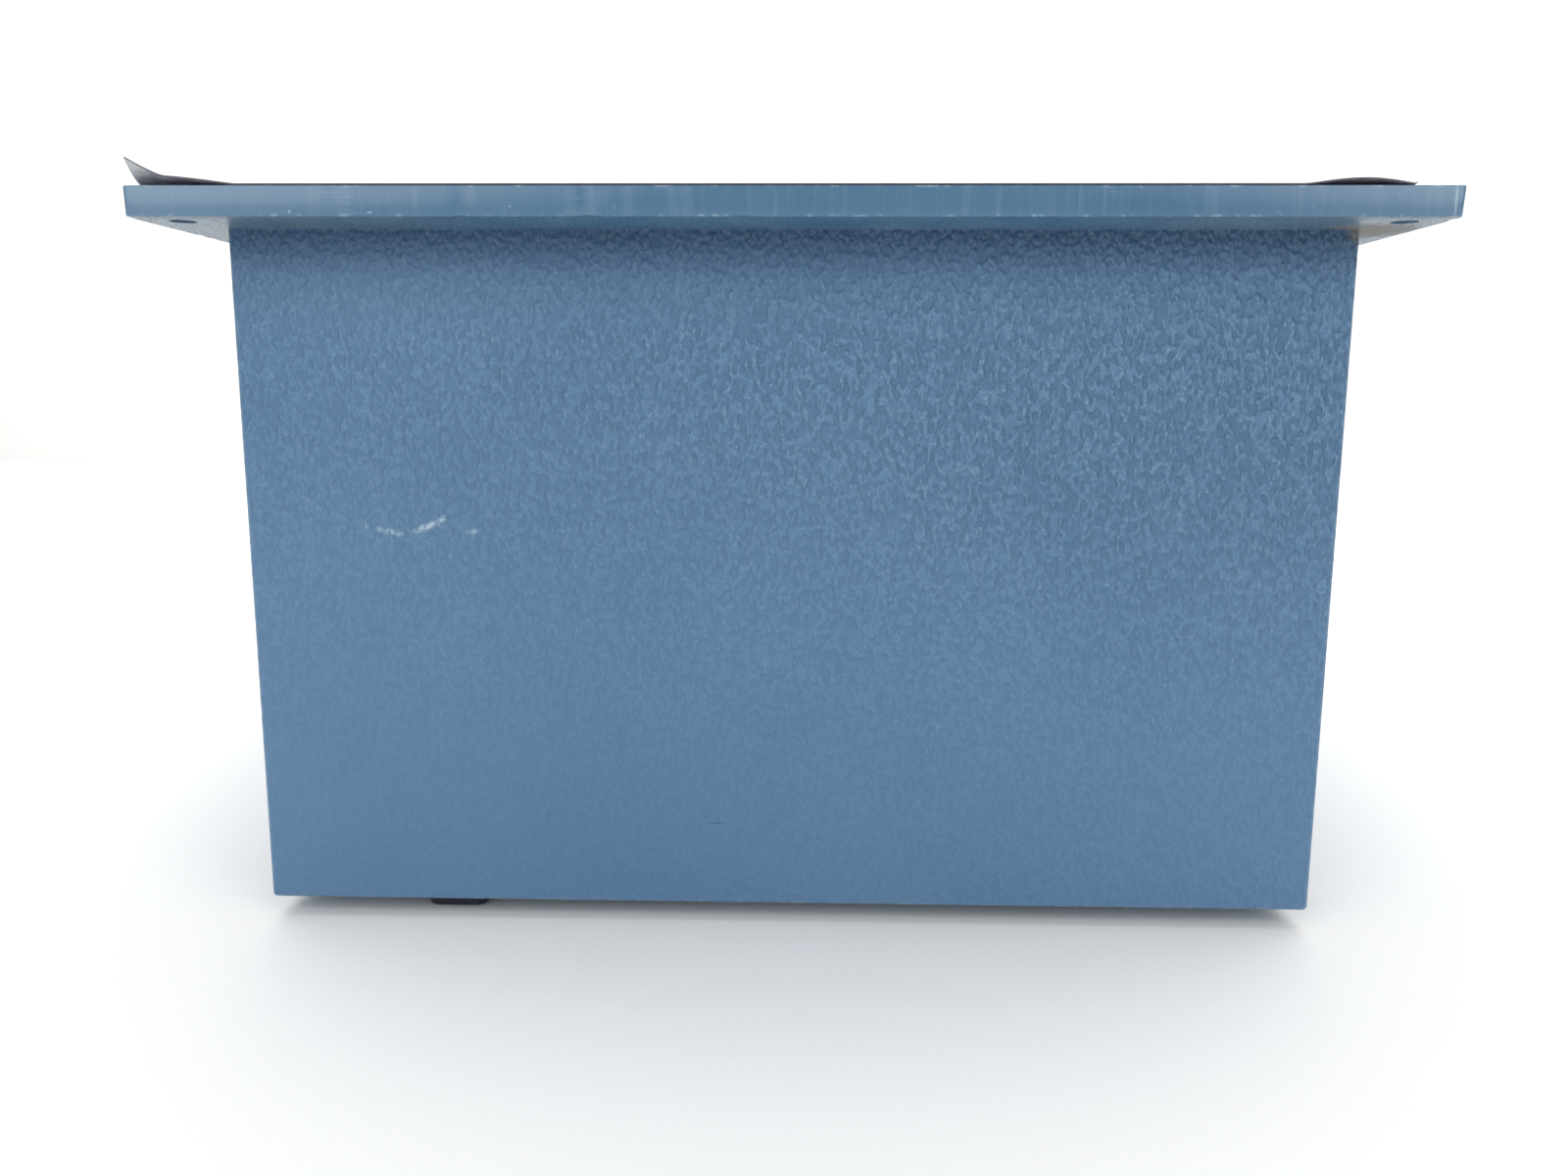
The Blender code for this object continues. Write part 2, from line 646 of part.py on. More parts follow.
def make_face_plate():
    middle = FACE - PLATE_THICKNESS / 2
    mesh = rounded_block("face_plate", (PLATE_WIDTH, PLATE_LENGTH, PLATE_THICKNESS), 0.0010)
    plate = part("face_plate", mesh, ALUMINIUM, (0, 0, middle))
    opening = [(METER_THROAT_RADIUS + 0.0025, 0.02, (0, 0, middle), "Z")]
    boolean(plate, cylinders("plate_opening", opening, RING_STEPS))
    places = [(sx * MOUNT_HOLE_X, sy * MOUNT_HOLE_Y, middle) for sx, sy in CORNERS]
    holes = [(MOUNT_HOLE_RADIUS, 0.02, place, "Z") for place in places]
    boolean(plate, cylinders("plate_mount_holes", holes))
    sinks = bmesh.new()
    for sx, sy in CORNERS:
        x, y = sx * FACE_SCREW_X, sy * FACE_SCREW_Y
        add_cylinder(sinks, 0.0025, 0.02, (x, y, middle), segments=12)
    boolean(plate, helper("plate_screw_holes", mesh_from("plate_screw_holes", sinks)))
    cones = bmesh.new()
    for sx, sy in CORNERS:
        centre = (sx * FACE_SCREW_X, sy * FACE_SCREW_Y, FACE - 0.0014)
        add_cylinder(cones, 0.0024, 0.0040, centre, top_radius=0.0060, segments=12)
    boolean(plate, helper("plate_countersinks", mesh_from("plate_countersinks", cones)))


def make_face_screws():
    """Slotted countersunk screws, their heads just below the plate's face."""
    head, shank, sink, length = FACE_SCREW_HEAD, 0.0021, 0.0026, 0.013
    profile = [(0, 0), (head, 0), (head, -0.0003), (shank, -sink), (shank, -length), (0, -length)]
    blank = helper("face_screw_body", turned("face_screw", profile, 12))
    slot = boxes("face_screw_slot", [((head * 3, 0.0011, 0.0022), (0, 0, 0))])
    boolean(blank, helper("face_screw_slot", slot))
    mesh = evaluated_mesh(blank)
    for number, (sx, sy) in enumerate(CORNERS, 1):
        place = (sx * FACE_SCREW_X, sy * FACE_SCREW_Y, FACE - 0.0002)
        part(f"face_screw_{number}", mesh, ZINC, place)


def film_lift(x, y):
    """Height of the film over the plate: a curled near-left corner and a buckle near the right."""
    along = max(0.0, x - FILM_LEFT)
    near = y + PLATE_LENGTH / 2
    tip = TIP_RISE * max(0.0, 1 - along / TIP_LENGTH) ** 1.3
    shelf = SHELF_RISE * max(0.0, 1 - (along / SHELF_LENGTH) ** 2) ** 1.2
    curl = (tip + shelf) * max(0.0, 1 - near / (CURL_DEPTH + along / 4)) ** 2
    across = max(0.0, 1 - ((x - BUCKLE_X) / BUCKLE_HALF_WIDTH) ** 2) ** 1.5
    inward = max(0.0, 1 - near / BUCKLE_DEPTH) ** 2
    return curl + BUCKLE_RISE * across * inward


def spaced(start, end, stops):
    """Grid lines from start to end with the given fractions of the way between them."""
    return [start + (end - start) * s for s in stops]


def make_face_film():
    near, far = -PLATE_LENGTH / 2, PLATE_LENGTH / 2 - 0.0005
    fine = [0.0, 0.012, 0.026, 0.042, 0.06, 0.085]
    start = BUCKLE_X - BUCKLE_HALF_WIDTH
    buckle = [(start + 0.004 * i - FILM_LEFT) / (FILM_RIGHT - FILM_LEFT) for i in range(6)]
    columns = spaced(FILM_LEFT, FILM_RIGHT, fine + [0.3, 0.5, 0.7] + buckle + [1.0])
    rows = spaced(near, far, [0.0, 0.01, 0.022, 0.036, 0.055, 0.085, 0.3, 0.5, 0.7, 1.0])
    bm = bmesh.new()
    bmesh.ops.create_grid(bm, x_segments=len(columns) - 1, y_segments=len(rows) - 1, size=1)
    for vert in bm.verts:
        column = round((vert.co.x + 1) / 2 * (len(columns) - 1))
        row = round((vert.co.y + 1) / 2 * (len(rows) - 1))
        x, y = columns[column], rows[row]
        vert.co = (x, y, FACE + GAP + film_lift(x, y))
    bmesh.ops.recalc_face_normals(bm, faces=bm.faces)
    if sum(f.normal.z for f in bm.faces) < 0:
        bmesh.ops.reverse_faces(bm, faces=bm.faces)
    film = part("face_film", mesh_from("face_film", bm), FILM)
    solid = film.modifiers.new("film", "SOLIDIFY")
    solid.thickness = FILM_THICKNESS
    solid.offset = 1
    holes = [(0.092, 0.02, (0, 0, FACE), "Z")]
    boolean(film, cylinders("film_opening", holes, RING_STEPS))
    small = [(0.0062, 0.02, (sx * FACE_SCREW_X, sy * FACE_SCREW_Y, FACE), "Z") for sx, sy in CORNERS]
    boolean(film, cylinders("film_screw_holes", small, 12))


# Meter rim and its sealing ring

LIP_RADIUS = 0.089
NECK_RADIUS = 0.0845
PLUG_RADIUS = METER_THROAT_RADIUS + 0.0022
RING_RADIUS = 0.0935
RING_WEB = 0.0013
RING_LOW, RING_HIGH = FACE + 0.0022, FACE + 0.0110
HINGE_Y = -(RING_RADIUS + 0.0052)
KNUCKLE_RADIUS = 0.0042
LATCH_X, LATCH_Y = -0.012, 0.0975
RING_STEPS = 48


def make_socket_collar():
    inner = METER_THROAT_RADIUS
    profile = [
        (LIP_RADIUS - 0.0006, FACE + 0.0070),
        (LIP_RADIUS, FACE + 0.0064),
        (LIP_RADIUS, FACE + 0.0045),
        (NECK_RADIUS, FACE + 0.0045),
        (NECK_RADIUS, FACE + 0.0017),
        (0.0905, FACE + 0.0017),
        (0.0905, FACE + GAP),
        (PLUG_RADIUS, FACE + GAP),
        (PLUG_RADIUS, FLANGE),
        (inner, FLANGE),
        (inner, FACE + 0.0062),
        (inner + 0.0008, FACE + 0.0070),
    ]
    part("socket_collar", turned("socket_collar", profile, RING_STEPS, ring=True), STAINLESS)


def ring_section():
    leg, lower, upper = 0.0012, 0.0862, 0.0850
    web = RING_RADIUS - RING_WEB
    return [
        (RING_RADIUS - 0.0005, RING_HIGH),
        (RING_RADIUS, RING_HIGH - 0.0005),
        (RING_RADIUS, RING_LOW),
        (lower, RING_LOW),
        (lower, RING_LOW + leg),
        (web, RING_LOW + leg),
        (web, RING_HIGH - leg),
        (upper, RING_HIGH - leg),
        (upper, RING_HIGH),
    ]


def make_ring_half(side, sign):
    """Half of a channel-section ring, with its hinge knuckle; the left half also carries the latch post."""
    name = f"sealing_ring_{side}"
    half = part(name, turned(name, ring_section(), RING_STEPS, ring=True), STAINLESS)
    joint_gap, reach = 0.0005, 0.12
    keep = ((reach, reach * 2, 0.05), (sign * (joint_gap + reach / 2), 0, FACE))
    boolean(half, helper(name + "_keep", boxes(name + "_keep", [keep])), "INTERSECT")
    low = RING_LOW + (0.0002 if side == "left" else 0.0046)
    high = low + 0.0040
    knuckle = bmesh.new()
    add_cylinder(knuckle, KNUCKLE_RADIUS, high - low, (0, HINGE_Y, (low + high) / 2))
    boolean(half, helper(name + "_knuckle", mesh_from(name + "_knuckle", knuckle)), "UNION")
    ear_start, ear_end = joint_gap + 0.0001, 0.0075
    ear = (
        (ear_end - ear_start, 0.0060, high - low - 0.0002),
        (sign * (ear_start + ear_end) / 2, HINGE_Y + 0.0033, (low + high) / 2),
    )
    boolean(half, helper(name + "_ear", boxes(name + "_ear", [ear])), "UNION")
    if side == "left":
        shelf_low, shelf_high = RING_LOW + 0.0002, RING_LOW + 0.0018
        size = (0.0080, 0.0090, shelf_high - shelf_low)
        centre = (LATCH_X, LATCH_Y - 0.0015, (shelf_low + shelf_high) / 2)
        boolean(half, helper("latch_shelf", boxes("latch_shelf", [(size, centre)])), "UNION")
        post_low, post_high = shelf_low + 0.0004, RING_HIGH + 0.0003
        post = [(0.0018, post_high - post_low, (LATCH_X, LATCH_Y, (post_low + post_high) / 2), "Z")]
        boolean(half, cylinders("latch_post", post, 12), "UNION")
    pin_hole = [(0.0021, 0.04, (0, HINGE_Y, FACE), "Z")]
    boolean(half, cylinders(name + "_pin_hole", pin_hole, 12))


def make_ring_pin():
    low, high = FACE + 0.0012, RING_HIGH + 0.0004
    radius, head, head_height = 0.0018, 0.0030, 0.0007
    profile = [
        (0, high),
        (radius, high),
        (radius, low + head_height),
        (head, low + head_height),
        (head, low),
        (0, low),
    ]
    part("ring_hinge_pin", turned("ring_hinge_pin", profile, 12), STAINLESS, (0, HINGE_Y, 0))


def make_ring_latch():
    """A strap that turns on the left half's post and lies across the joint between the halves."""
    low, high = RING_LOW + 0.0022, RING_HIGH - 0.0003
    inner, outer, reach = 0.0941 - LATCH_Y, 0.0966 - LATCH_Y, 0.016 - LATCH_X
    boss = 0.0036
    points = arc((0, 0), boss, 60, 290, 12)
    points += [(0.004, inner), (reach, inner), (reach + 0.0022, inner + 0.0040)]
    points += [(reach, inner + 0.0055), (reach - 0.002, outer), (0.0055, outer)]
    strap = outline("ring_latch", points, high - low)
    latch = part("ring_latch", strap, STAINLESS, (LATCH_X, LATCH_Y, (low + high) / 2))
    hole = [(0.0021, 0.04, (LATCH_X, LATCH_Y, FACE), "Z")]
    boolean(latch, cylinders("latch_hole", hole, 12))
    seal_hole = [(0.0011, 0.02, (LATCH_X + reach - 0.006, LATCH_Y, (low + high) / 2), "Y")]
    boolean(latch, cylinders("seal_hole", seal_hole, 8))


def main():
    make_box_shell()
    make_rear_bushing()
    make_support_brackets()
    make_jaw_base()
    make_base_screws()
    make_jaws()
    make_straps()
    make_lugs()
    make_neutral()
    make_ground_lug()
    make_bypass_shaft()
    make_bearings()
    make_lever()
    make_carriage()
    make_return_springs()
    make_face_plate()
    make_face_screws()
    make_face_film()
    make_socket_collar()
    for side, sign in SIDES.items():
        make_ring_half(side, sign)
    make_ring_pin()
    make_ring_latch()


main()
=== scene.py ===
"""The looks of a flush meter socket enclosure with a lever bypass, dressed round its CAD frame.

Lengths are in metres in the frame's own axes: +Z comes out of the face, +X is right, and -Y is the
plain end wall that the camera looks at.
"""

import json
import math
import random

import bmesh
import bpy
from mathutils import Matrix, Vector, noise

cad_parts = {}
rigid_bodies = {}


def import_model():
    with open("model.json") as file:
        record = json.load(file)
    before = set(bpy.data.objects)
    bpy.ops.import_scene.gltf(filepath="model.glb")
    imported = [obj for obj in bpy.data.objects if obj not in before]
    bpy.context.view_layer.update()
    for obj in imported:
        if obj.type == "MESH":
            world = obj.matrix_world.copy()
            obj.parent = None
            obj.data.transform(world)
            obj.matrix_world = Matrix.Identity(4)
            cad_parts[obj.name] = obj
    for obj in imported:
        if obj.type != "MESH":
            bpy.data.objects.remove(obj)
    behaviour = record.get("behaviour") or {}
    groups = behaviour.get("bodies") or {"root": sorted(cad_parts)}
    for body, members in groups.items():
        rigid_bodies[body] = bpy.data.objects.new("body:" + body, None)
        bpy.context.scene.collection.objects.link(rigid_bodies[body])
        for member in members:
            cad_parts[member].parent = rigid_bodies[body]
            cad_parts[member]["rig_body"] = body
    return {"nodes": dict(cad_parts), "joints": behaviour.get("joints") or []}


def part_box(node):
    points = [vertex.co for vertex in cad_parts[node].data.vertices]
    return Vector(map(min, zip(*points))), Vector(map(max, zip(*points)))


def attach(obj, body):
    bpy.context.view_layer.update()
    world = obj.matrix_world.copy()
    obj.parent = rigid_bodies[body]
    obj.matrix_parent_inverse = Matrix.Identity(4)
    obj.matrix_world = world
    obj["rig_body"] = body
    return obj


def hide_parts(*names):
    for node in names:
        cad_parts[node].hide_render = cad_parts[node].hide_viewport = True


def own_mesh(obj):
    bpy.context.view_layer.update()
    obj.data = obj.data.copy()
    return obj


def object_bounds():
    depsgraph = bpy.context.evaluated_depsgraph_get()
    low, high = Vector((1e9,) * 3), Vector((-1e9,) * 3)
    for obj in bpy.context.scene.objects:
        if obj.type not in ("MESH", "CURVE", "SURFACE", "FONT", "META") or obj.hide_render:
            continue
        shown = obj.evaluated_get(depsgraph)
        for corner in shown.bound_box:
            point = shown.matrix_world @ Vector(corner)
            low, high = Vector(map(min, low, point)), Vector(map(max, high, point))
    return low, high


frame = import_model()
CAD_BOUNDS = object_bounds()
NODES = frame["nodes"]
SIDES = {"left": -1, "right": 1}
ENDS = {"line": -1, "load": 1}
PHASES = [(end, side) for end in ENDS for side in SIDES]
CORNERS = [(sx, sy) for sy in (-1, 1) for sx in (-1, 1)]

# An outline drawn in XY stands in the YZ plane, or in the XZ plane, after these turns
IN_YZ = (math.pi / 2, 0, math.pi / 2)
IN_XZ = (math.pi / 2, 0, 0)
ACROSS_X = (0, math.pi / 2, 0)
FLAT = (0, 0, 0)


# Meshes


def mesh_from(bm):
    mesh = bpy.data.meshes.new("shape")
    bmesh.ops.recalc_face_normals(bm, faces=bm.faces)
    bm.to_mesh(mesh)
    bm.free()
    return mesh


def linked(name, mesh):
    obj = bpy.data.objects.new(name, mesh)
    bpy.context.scene.collection.objects.link(obj)
    return obj


def evaluated(obj):
    """The mesh that the object's modifiers make, with the object removed."""
    bpy.context.view_layer.update()
    graph = bpy.context.evaluated_depsgraph_get()
    mesh = bpy.data.meshes.new_from_object(obj.evaluated_get(graph))
    bpy.data.objects.remove(obj, do_unlink=True)
    return mesh


def placed(mesh, place=(0, 0, 0), turn=FLAT):
    x, y, z = turn
    turned_by = Matrix.Rotation(z, 4, "Z") @ Matrix.Rotation(y, 4, "Y") @ Matrix.Rotation(x, 4, "X")
    mesh.transform(Matrix.Translation(place) @ turned_by)
    return mesh


def carve(mesh, tool, operation="DIFFERENCE"):
    """The first mesh cut by the second, or joined to it."""
    body, cutter = linked("body", mesh), linked("cutter", tool)
    modifier = body.modifiers.new("carve", "BOOLEAN")
    modifier.operation = operation
    modifier.solver = "EXACT"
    modifier.object = cutter
    result = evaluated(body)
    bpy.data.objects.remove(cutter, do_unlink=True)
    return result


def gathered(meshes):
    """One mesh that holds all of these, for a cutter of several shapes."""
    bm = bmesh.new()
    for mesh in meshes:
        bm.from_mesh(mesh)
    return mesh_from(bm)


def block(size, centre=(0, 0, 0)):
    bm = bmesh.new()
    bmesh.ops.create_cube(bm, size=1, matrix=Matrix.Translation(centre) @ Matrix.Diagonal((*size, 1)))
    return mesh_from(bm)


def rod(radius, length, centre=(0, 0, 0), turn=FLAT, top_radius=None, segments=48):
    bm = bmesh.new()
    top = radius if top_radius is None else top_radius
    bmesh.ops.create_cone(bm, cap_ends=True, segments=segments, radius1=radius, radius2=top, depth=length)
    return placed(mesh_from(bm), centre, turn)


def turned(profile, steps=96):
    """A solid turned about Z from (radius, height) points; a profile off the axis closes on itself."""
    links = [(i, i + 1) for i in range(len(profile) - 1)]
    if profile[0][0] > 0:
        links.append((len(profile) - 1, 0))
    mesh = bpy.data.meshes.new("profile")
    mesh.from_pydata([(radius, 0, height) for radius, height in profile], links, [])
    blank = linked("blank", mesh)
    screw = blank.modifiers.new("turn", "SCREW")
    screw.steps = steps
    screw.render_steps = steps
    screw.use_merge_vertices = True
    screw.merge_threshold = 0.000001
    bm = bmesh.new()
    bm.from_mesh(evaluated(blank))
    return mesh_from(bm)


def lofted(rings):
    """A solid through rings that have the same number of points, from the lowest ring up."""
    bm = bmesh.new()
    rings = [[bm.verts.new(point) for point in ring] for ring in rings]
    bm.faces.new(rings[0][::-1])
    bm.faces.new(rings[-1])
    for low, high in zip(rings, rings[1:]):
        for i in range(len(low)):
            bm.faces.new((low[i - 1], low[i], high[i], high[i - 1]))
    return mesh_from(bm)


def outline(points, depth):
    """A flat outline in XY, made solid to this depth about Z = 0."""
    return lofted([[(x, y, z) for x, y in points] for z in (-depth / 2, depth / 2)])


def thickened(mesh, thickness, offset=1, even=False):
    """A surface made into sheet, on the side its faces look to, or on the other side with -1."""
    blank = linked("surface", mesh)
    sheet = blank.modifiers.new("sheet", "SOLIDIFY")
    sheet.thickness = thickness
    sheet.offset = offset
    sheet.use_even_offset = even
    return evaluated(blank)


def rectangle(low, high):
    """Corners in XY, counter-clockwise from the near right one."""
    return [(high.x, low.y), (high.x, high.y), (low.x, high.y), (low.x, low.y)]


def arc(centre, radius, start, end, steps):
    """Points on an arc, with its angles in degrees."""
    turns = [math.radians(start + (end - start) * i / steps) for i in range(steps + 1)]
    return [(centre[0] + radius * math.cos(a), centre[1] + radius * math.sin(a)) for a in turns]


def filleted(points, radius, closed=True, steps=5):
    """The outline or path with each corner rounded off."""
    made = []
    for i, point in enumerate(points):
        here = Vector(point)
        if not closed and i in (0, len(points) - 1):
            made.append(tuple(here))
            continue
        before = Vector(points[i - 1]) - here
        after = Vector(points[(i + 1) % len(points)]) - here
        reach = min(radius, before.length * 0.45, after.length * 0.45)
        start = here + before.normalized() * reach
        end = here + after.normalized() * reach
        for step in range(steps + 1):
            t = step / steps
            made.append(tuple(start * (1 - t) ** 2 + here * 2 * t * (1 - t) + end * t**2))
    return made


def bent_strip(path, thickness, width, bend=0.0):
    """Sheet metal bent along a centre line in XY, and this wide along Z."""
    points = [Vector(p) for p in (filleted(path, bend, closed=False, steps=6) if bend else path)]
    left, right = [], []
    for i, point in enumerate(points):
        near = [points[j + 1] - points[j] for j in (i - 1, i) if 0 <= j < len(points) - 1]
        sides = [Vector((-d.y, d.x)).normalized() for d in near]
        middle = sum(sides, Vector((0, 0))).normalized()
        offset = middle * thickness / 2 / middle.dot(sides[0])
        left.append(tuple(point + offset))
        right.append(tuple(point - offset))
    return outline(left + right[::-1], width)


def regular(sides, across, turn=0.0):
    """Corners of a regular polygon, measured across its flats."""
    reach = across / 2 / math.cos(math.pi / sides)
    angles = [turn + 2 * math.pi * i / sides for i in range(sides)]
    return [(reach * math.cos(a), reach * math.sin(a)) for a in angles]


# Pieces


def piece(name, mesh, looks, *nodes, body=None, slot=None, soften=0.0, sharp=38, pick=None):
    """A finished piece that rides on a body and stands for these CAD nodes, if any are given."""
    looks = looks if isinstance(looks, list) else [looks]
    mesh.name = name
    for look in looks:
        mesh.materials.append(look)
    if pick:
        for polygon in mesh.polygons:
            polygon.material_index = pick(polygon.normal, polygon.center)
    mesh.shade_smooth()
    obj = linked(name, mesh)
    if soften:
        bevel = obj.modifiers.new("soft_edges", "BEVEL")
        bevel.width = soften
        bevel.segments = 3
        bevel.limit_method = "ANGLE"
        bevel.angle_limit = math.radians(32)
        obj.modifiers.new("flat_faces", "WEIGHTED_NORMAL")
    else:
        mesh.set_sharp_from_angle(angle=math.radians(sharp))
    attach(obj, body or NODES[nodes[0]]["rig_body"])
    if nodes:
        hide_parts(*nodes)
    return obj


def by_facing(limit, up, down, side):
    """Picks a look's number by whether a face looks up, down or sideways."""
    return lambda normal, centre: up if normal.z > limit else down if normal.z < -limit else side


def extent(node):
    low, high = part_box(node)
    return low, high, (low + high) / 2


def middle_of(node):
    return extent(node)[2]


# Materials


class Look:
    """A procedural material, built node by node from the piece's own coordinates."""

    def __init__(self, name, roughness=0.5, metallic=0.0, **fixed):
        self.material = bpy.data.materials.new(name)
        self.material.use_nodes = True
        self.tree = self.material.node_tree
        self.shader = self.tree.nodes["Principled BSDF"]
        self.set("Roughness", roughness)
        self.set("Metallic", metallic)
        for socket, value in fixed.items():
            self.set(socket.replace("_", " "), value)
        self.place = self.add("TexCoord", {}, output="Object")

    def set(self, socket, value):
        """Gives a shader socket a fixed value, or a link from another node."""
        target = self.shader.inputs[socket]
        if isinstance(value, bpy.types.NodeSocket):
            self.tree.links.new(value, target)
        else:
            target.default_value = value

    def add(self, kind, inputs, output=0, **settings):
        node = self.tree.nodes.new("ShaderNode" + kind)
        for key, value in settings.items():
            setattr(node, key, value)
        for key, value in inputs.items():
            if isinstance(value, bpy.types.NodeSocket):
                self.tree.links.new(value, node.inputs[key])
            else:
                node.inputs[key].default_value = value
        return node.outputs[output]

    def math(self, operation, a, b=0.0, c=0.0):
        return self.add("Math", {0: a, 1: b, 2: c}, operation=operation)

    def times(self, a, b):
        return self.math("MULTIPLY", a, b)

    def plus(self, a, b):
        return self.math("ADD", a, b)

    def minus(self, a, b):
        return self.math("SUBTRACT", a, b)

    def larger(self, a, b):
        return self.math("MAXIMUM", a, b)

    def smaller(self, a, b):
        return self.math("MINIMUM", a, b)

    def absolute(self, a):
        return self.math("ABSOLUTE", a)

    def vector(self, operation, a, b, c=(0, 0, 0)):
        return self.add("VectorMath", {0: a, 1: b, 2: c}, operation=operation)

    def scaled(self, x, y, z, place=None):
        return self.vector("MULTIPLY", place or self.place, (x, y, z))

    def noise(self, scale, detail=2.0, place=None, roughness=0.5, distortion=0.0, output=0):
        inputs = {"Vector": place or self.place, "Scale": scale, "Detail": detail}
        inputs.update({"Roughness": roughness, "Distortion": distortion})
        return self.add("TexNoise", inputs, output=output)

    def voronoi(self, scale, feature="F1", place=None, output=0):
        inputs = {"Vector": place or self.place, "Scale": scale}
        return self.add("TexVoronoi", inputs, output=output, feature=feature)

    def between(self, value, low, high, to_low=0.0, to_high=1.0):
        """A smooth step from to_low to to_high as value goes from low to high."""
        inputs = {"Value": value, "From Min": low, "From Max": high, "To Min": to_low, "To Max": to_high}
        return self.add("MapRange", inputs, interpolation_type="SMOOTHSTEP")

    def mix(self, factor, a, b, blend="MIX"):
        a, b = (v if isinstance(v, bpy.types.NodeSocket) else (*v, 1) for v in (a, b))
        return self.add("MixRGB", {"Fac": factor, "Color1": a, "Color2": b}, blend_type=blend)

    def axis(self, name, place=None):
        return self.add("SeparateXYZ", {0: place or self.place}, output=name)

    def spot(self, centre, radii, turn=0.0, edge=0.5):
        """1 inside an ellipsoid, fading to 0 at its surface."""
        offset = self.vector("SUBTRACT", self.place, centre)
        turned_by = {"Vector": offset, "Axis": (0, 1, 0), "Angle": turn}
        aligned = self.add("VectorRotate", turned_by)
        shape = self.vector("DIVIDE", aligned, radii)
        length = self.add("VectorMath", {0: shape}, output="Value", operation="LENGTH")
        return self.between(length, edge, 1.0, 1.0, 0.0)

    def bump(self, height, distance, strength=1.0, under=None):
        inputs = {"Height": height, "Distance": distance, "Strength": strength}
        if under:
            inputs["Normal"] = under
        return self.add("Bump", inputs)

    def done(self, colour, roughness=None, normal=None):
        self.set("Base Color", colour if isinstance(colour, bpy.types.NodeSocket) else (*colour, 1))
        if roughness is not None:
            self.set("Roughness", roughness)
        if normal is not None:
            self.set("Normal", normal)
        return self.material


def scratches(look, count, lean, share=0.03):
    """A mask of sparse fine strokes, leaning the way that the vector gives."""
    strokes = look.noise(count, detail=1, place=look.scaled(*lean), distortion=0.4)
    thin = look.between(look.absolute(look.minus(strokes, 0.5)), 0.0, share, 1.0, 0.0)
    patches = look.between(look.noise(60, detail=2), 0.56, 0.70)
    return look.times(thin, patches)


def grain_depth(look):
    """How deep the embossing is: shallow low on the walls and to the left, easing off under the flange."""
    height = look.axis("Z")
    rising = look.between(height, 0.020, 0.145, 0.22, 1.0)
    easing = look.between(height, 0.135, 0.160, 1.0, 0.60)
    across = look.between(look.axis("X"), -0.127, 0.127, 0.75, 1.35)
    return look.times(look.times(rising, easing), across)


def leather_look():
    """Blue paint over a fine upright leather grain, with painted shade in its hollows and painted highlights
    on its pebbles, the wall's marks, and painted shade under the flange.
    """
    look = Look("blue_leather_grain_paint", roughness=0.45, Specular_IOR_Level=0.5)
    drift = look.noise(320, detail=2, output="Color")
    warped = look.vector("MULTIPLY_ADD", drift, (0.0010, 0.0010, 0.0010), look.place)
    tall = look.scaled(1, 1, 0.6, warped)
    pebbles = look.between(look.voronoi(1150, "SMOOTH_F1", tall), 0.15, 0.75, 1.0, 0.0)
    folds = look.between(look.noise(620, detail=3, place=tall), 0.35, 0.65)
    fine = look.noise(3200, detail=2, place=tall)
    worked = look.math("MULTIPLY_ADD", folds, 0.22, look.times(pebbles, 0.60))
    grain = look.math("MULTIPLY_ADD", fine, 0.30, worked)
    depth = grain_depth(look)

    broad = look.noise(14, detail=3)
    base = look.mix(look.between(broad, 0.3, 0.7), (0.069, 0.156, 0.276), (0.078, 0.169, 0.292))
    # Painted shade: the grain's hollows are darkened, more where the grain runs deeper.
    valley = look.between(grain, 0.30, 0.75, 0.26, 0.0)
    toned = look.mix(look.times(valley, depth), base, (0.010, 0.045, 0.120))
    # Painted highlight: the pebble tops are paled in broken streaks, more where the grain runs deeper.
    stroke = look.between(look.noise(2900, detail=2, place=look.scaled(1, 1, 0.5, warped)), 0.50, 0.68)
    rubs_and_painted_highlight = look.times(stroke, look.between(grain, 0.45, 0.90))
    rubs_and_painted_highlight = look.times(rubs_and_painted_highlight, look.times(depth, 0.55))
    toned = look.mix(rubs_and_painted_highlight, toned, (0.20, 0.33, 0.46))

    toned = look.mix(scuff_mask(look, grain), toned, (0.45, 0.57, 0.63))
    nick = look.spot(NICK_PLACE, (0.0032, 0.002, 0.00025), edge=0.2)
    toned = look.mix(look.times(nick, 0.75), toned, (0.020, 0.050, 0.095))
    toned = look.mix(edge_wear(look), toned, (0.17, 0.27, 0.38))
    below_flange = look.minus(PLATE_LOW.z, look.axis("Z"))
    shade = look.between(below_flange, 0.0005, 0.0125, 0.70, 0.0)
    shade = look.times(shade, look.between(below_flange, 0.0001, 0.0004))
    toned = look.mix(shade, toned, (0.35, 0.42, 0.52), "MULTIPLY")
    stain = look.spot(STAIN_PLACE, (0.0052, 0.004, 0.0090), edge=0.0)
    stain = look.times(stain, look.noise(1800, detail=4, roughness=0.7))
    toned = look.mix(look.between(stain, 0.10, 0.40, 0.0, 0.85), toned, (0.150, 0.152, 0.142))
    roughness = look.between(grain, 0.3, 1.0, 0.52, 0.36)
    coarse = look.bump(broad, 0.0012, 0.5)
    relief = look.times(grain, depth)
    return look.done(toned, roughness, look.bump(relief, 0.00075, 1.0, under=coarse))


def scuff_mask(look, grain):
    """Chalky rubs on the plain end wall, caught on the tops of the grain."""
    broken = look.math("MULTIPLY_ADD", grain, 0.3, look.noise(3600, detail=3, roughness=0.75))
    caught = look.between(broken, 0.56, 0.80, 0.05, 1.0)
    mask = 0.0
    for place, radii, turn, strength in SCUFFS:
        shape = look.times(look.spot(place, radii, turn, 0.1), strength)
        mask = look.larger(mask, shape)
    return look.times(mask, caught)


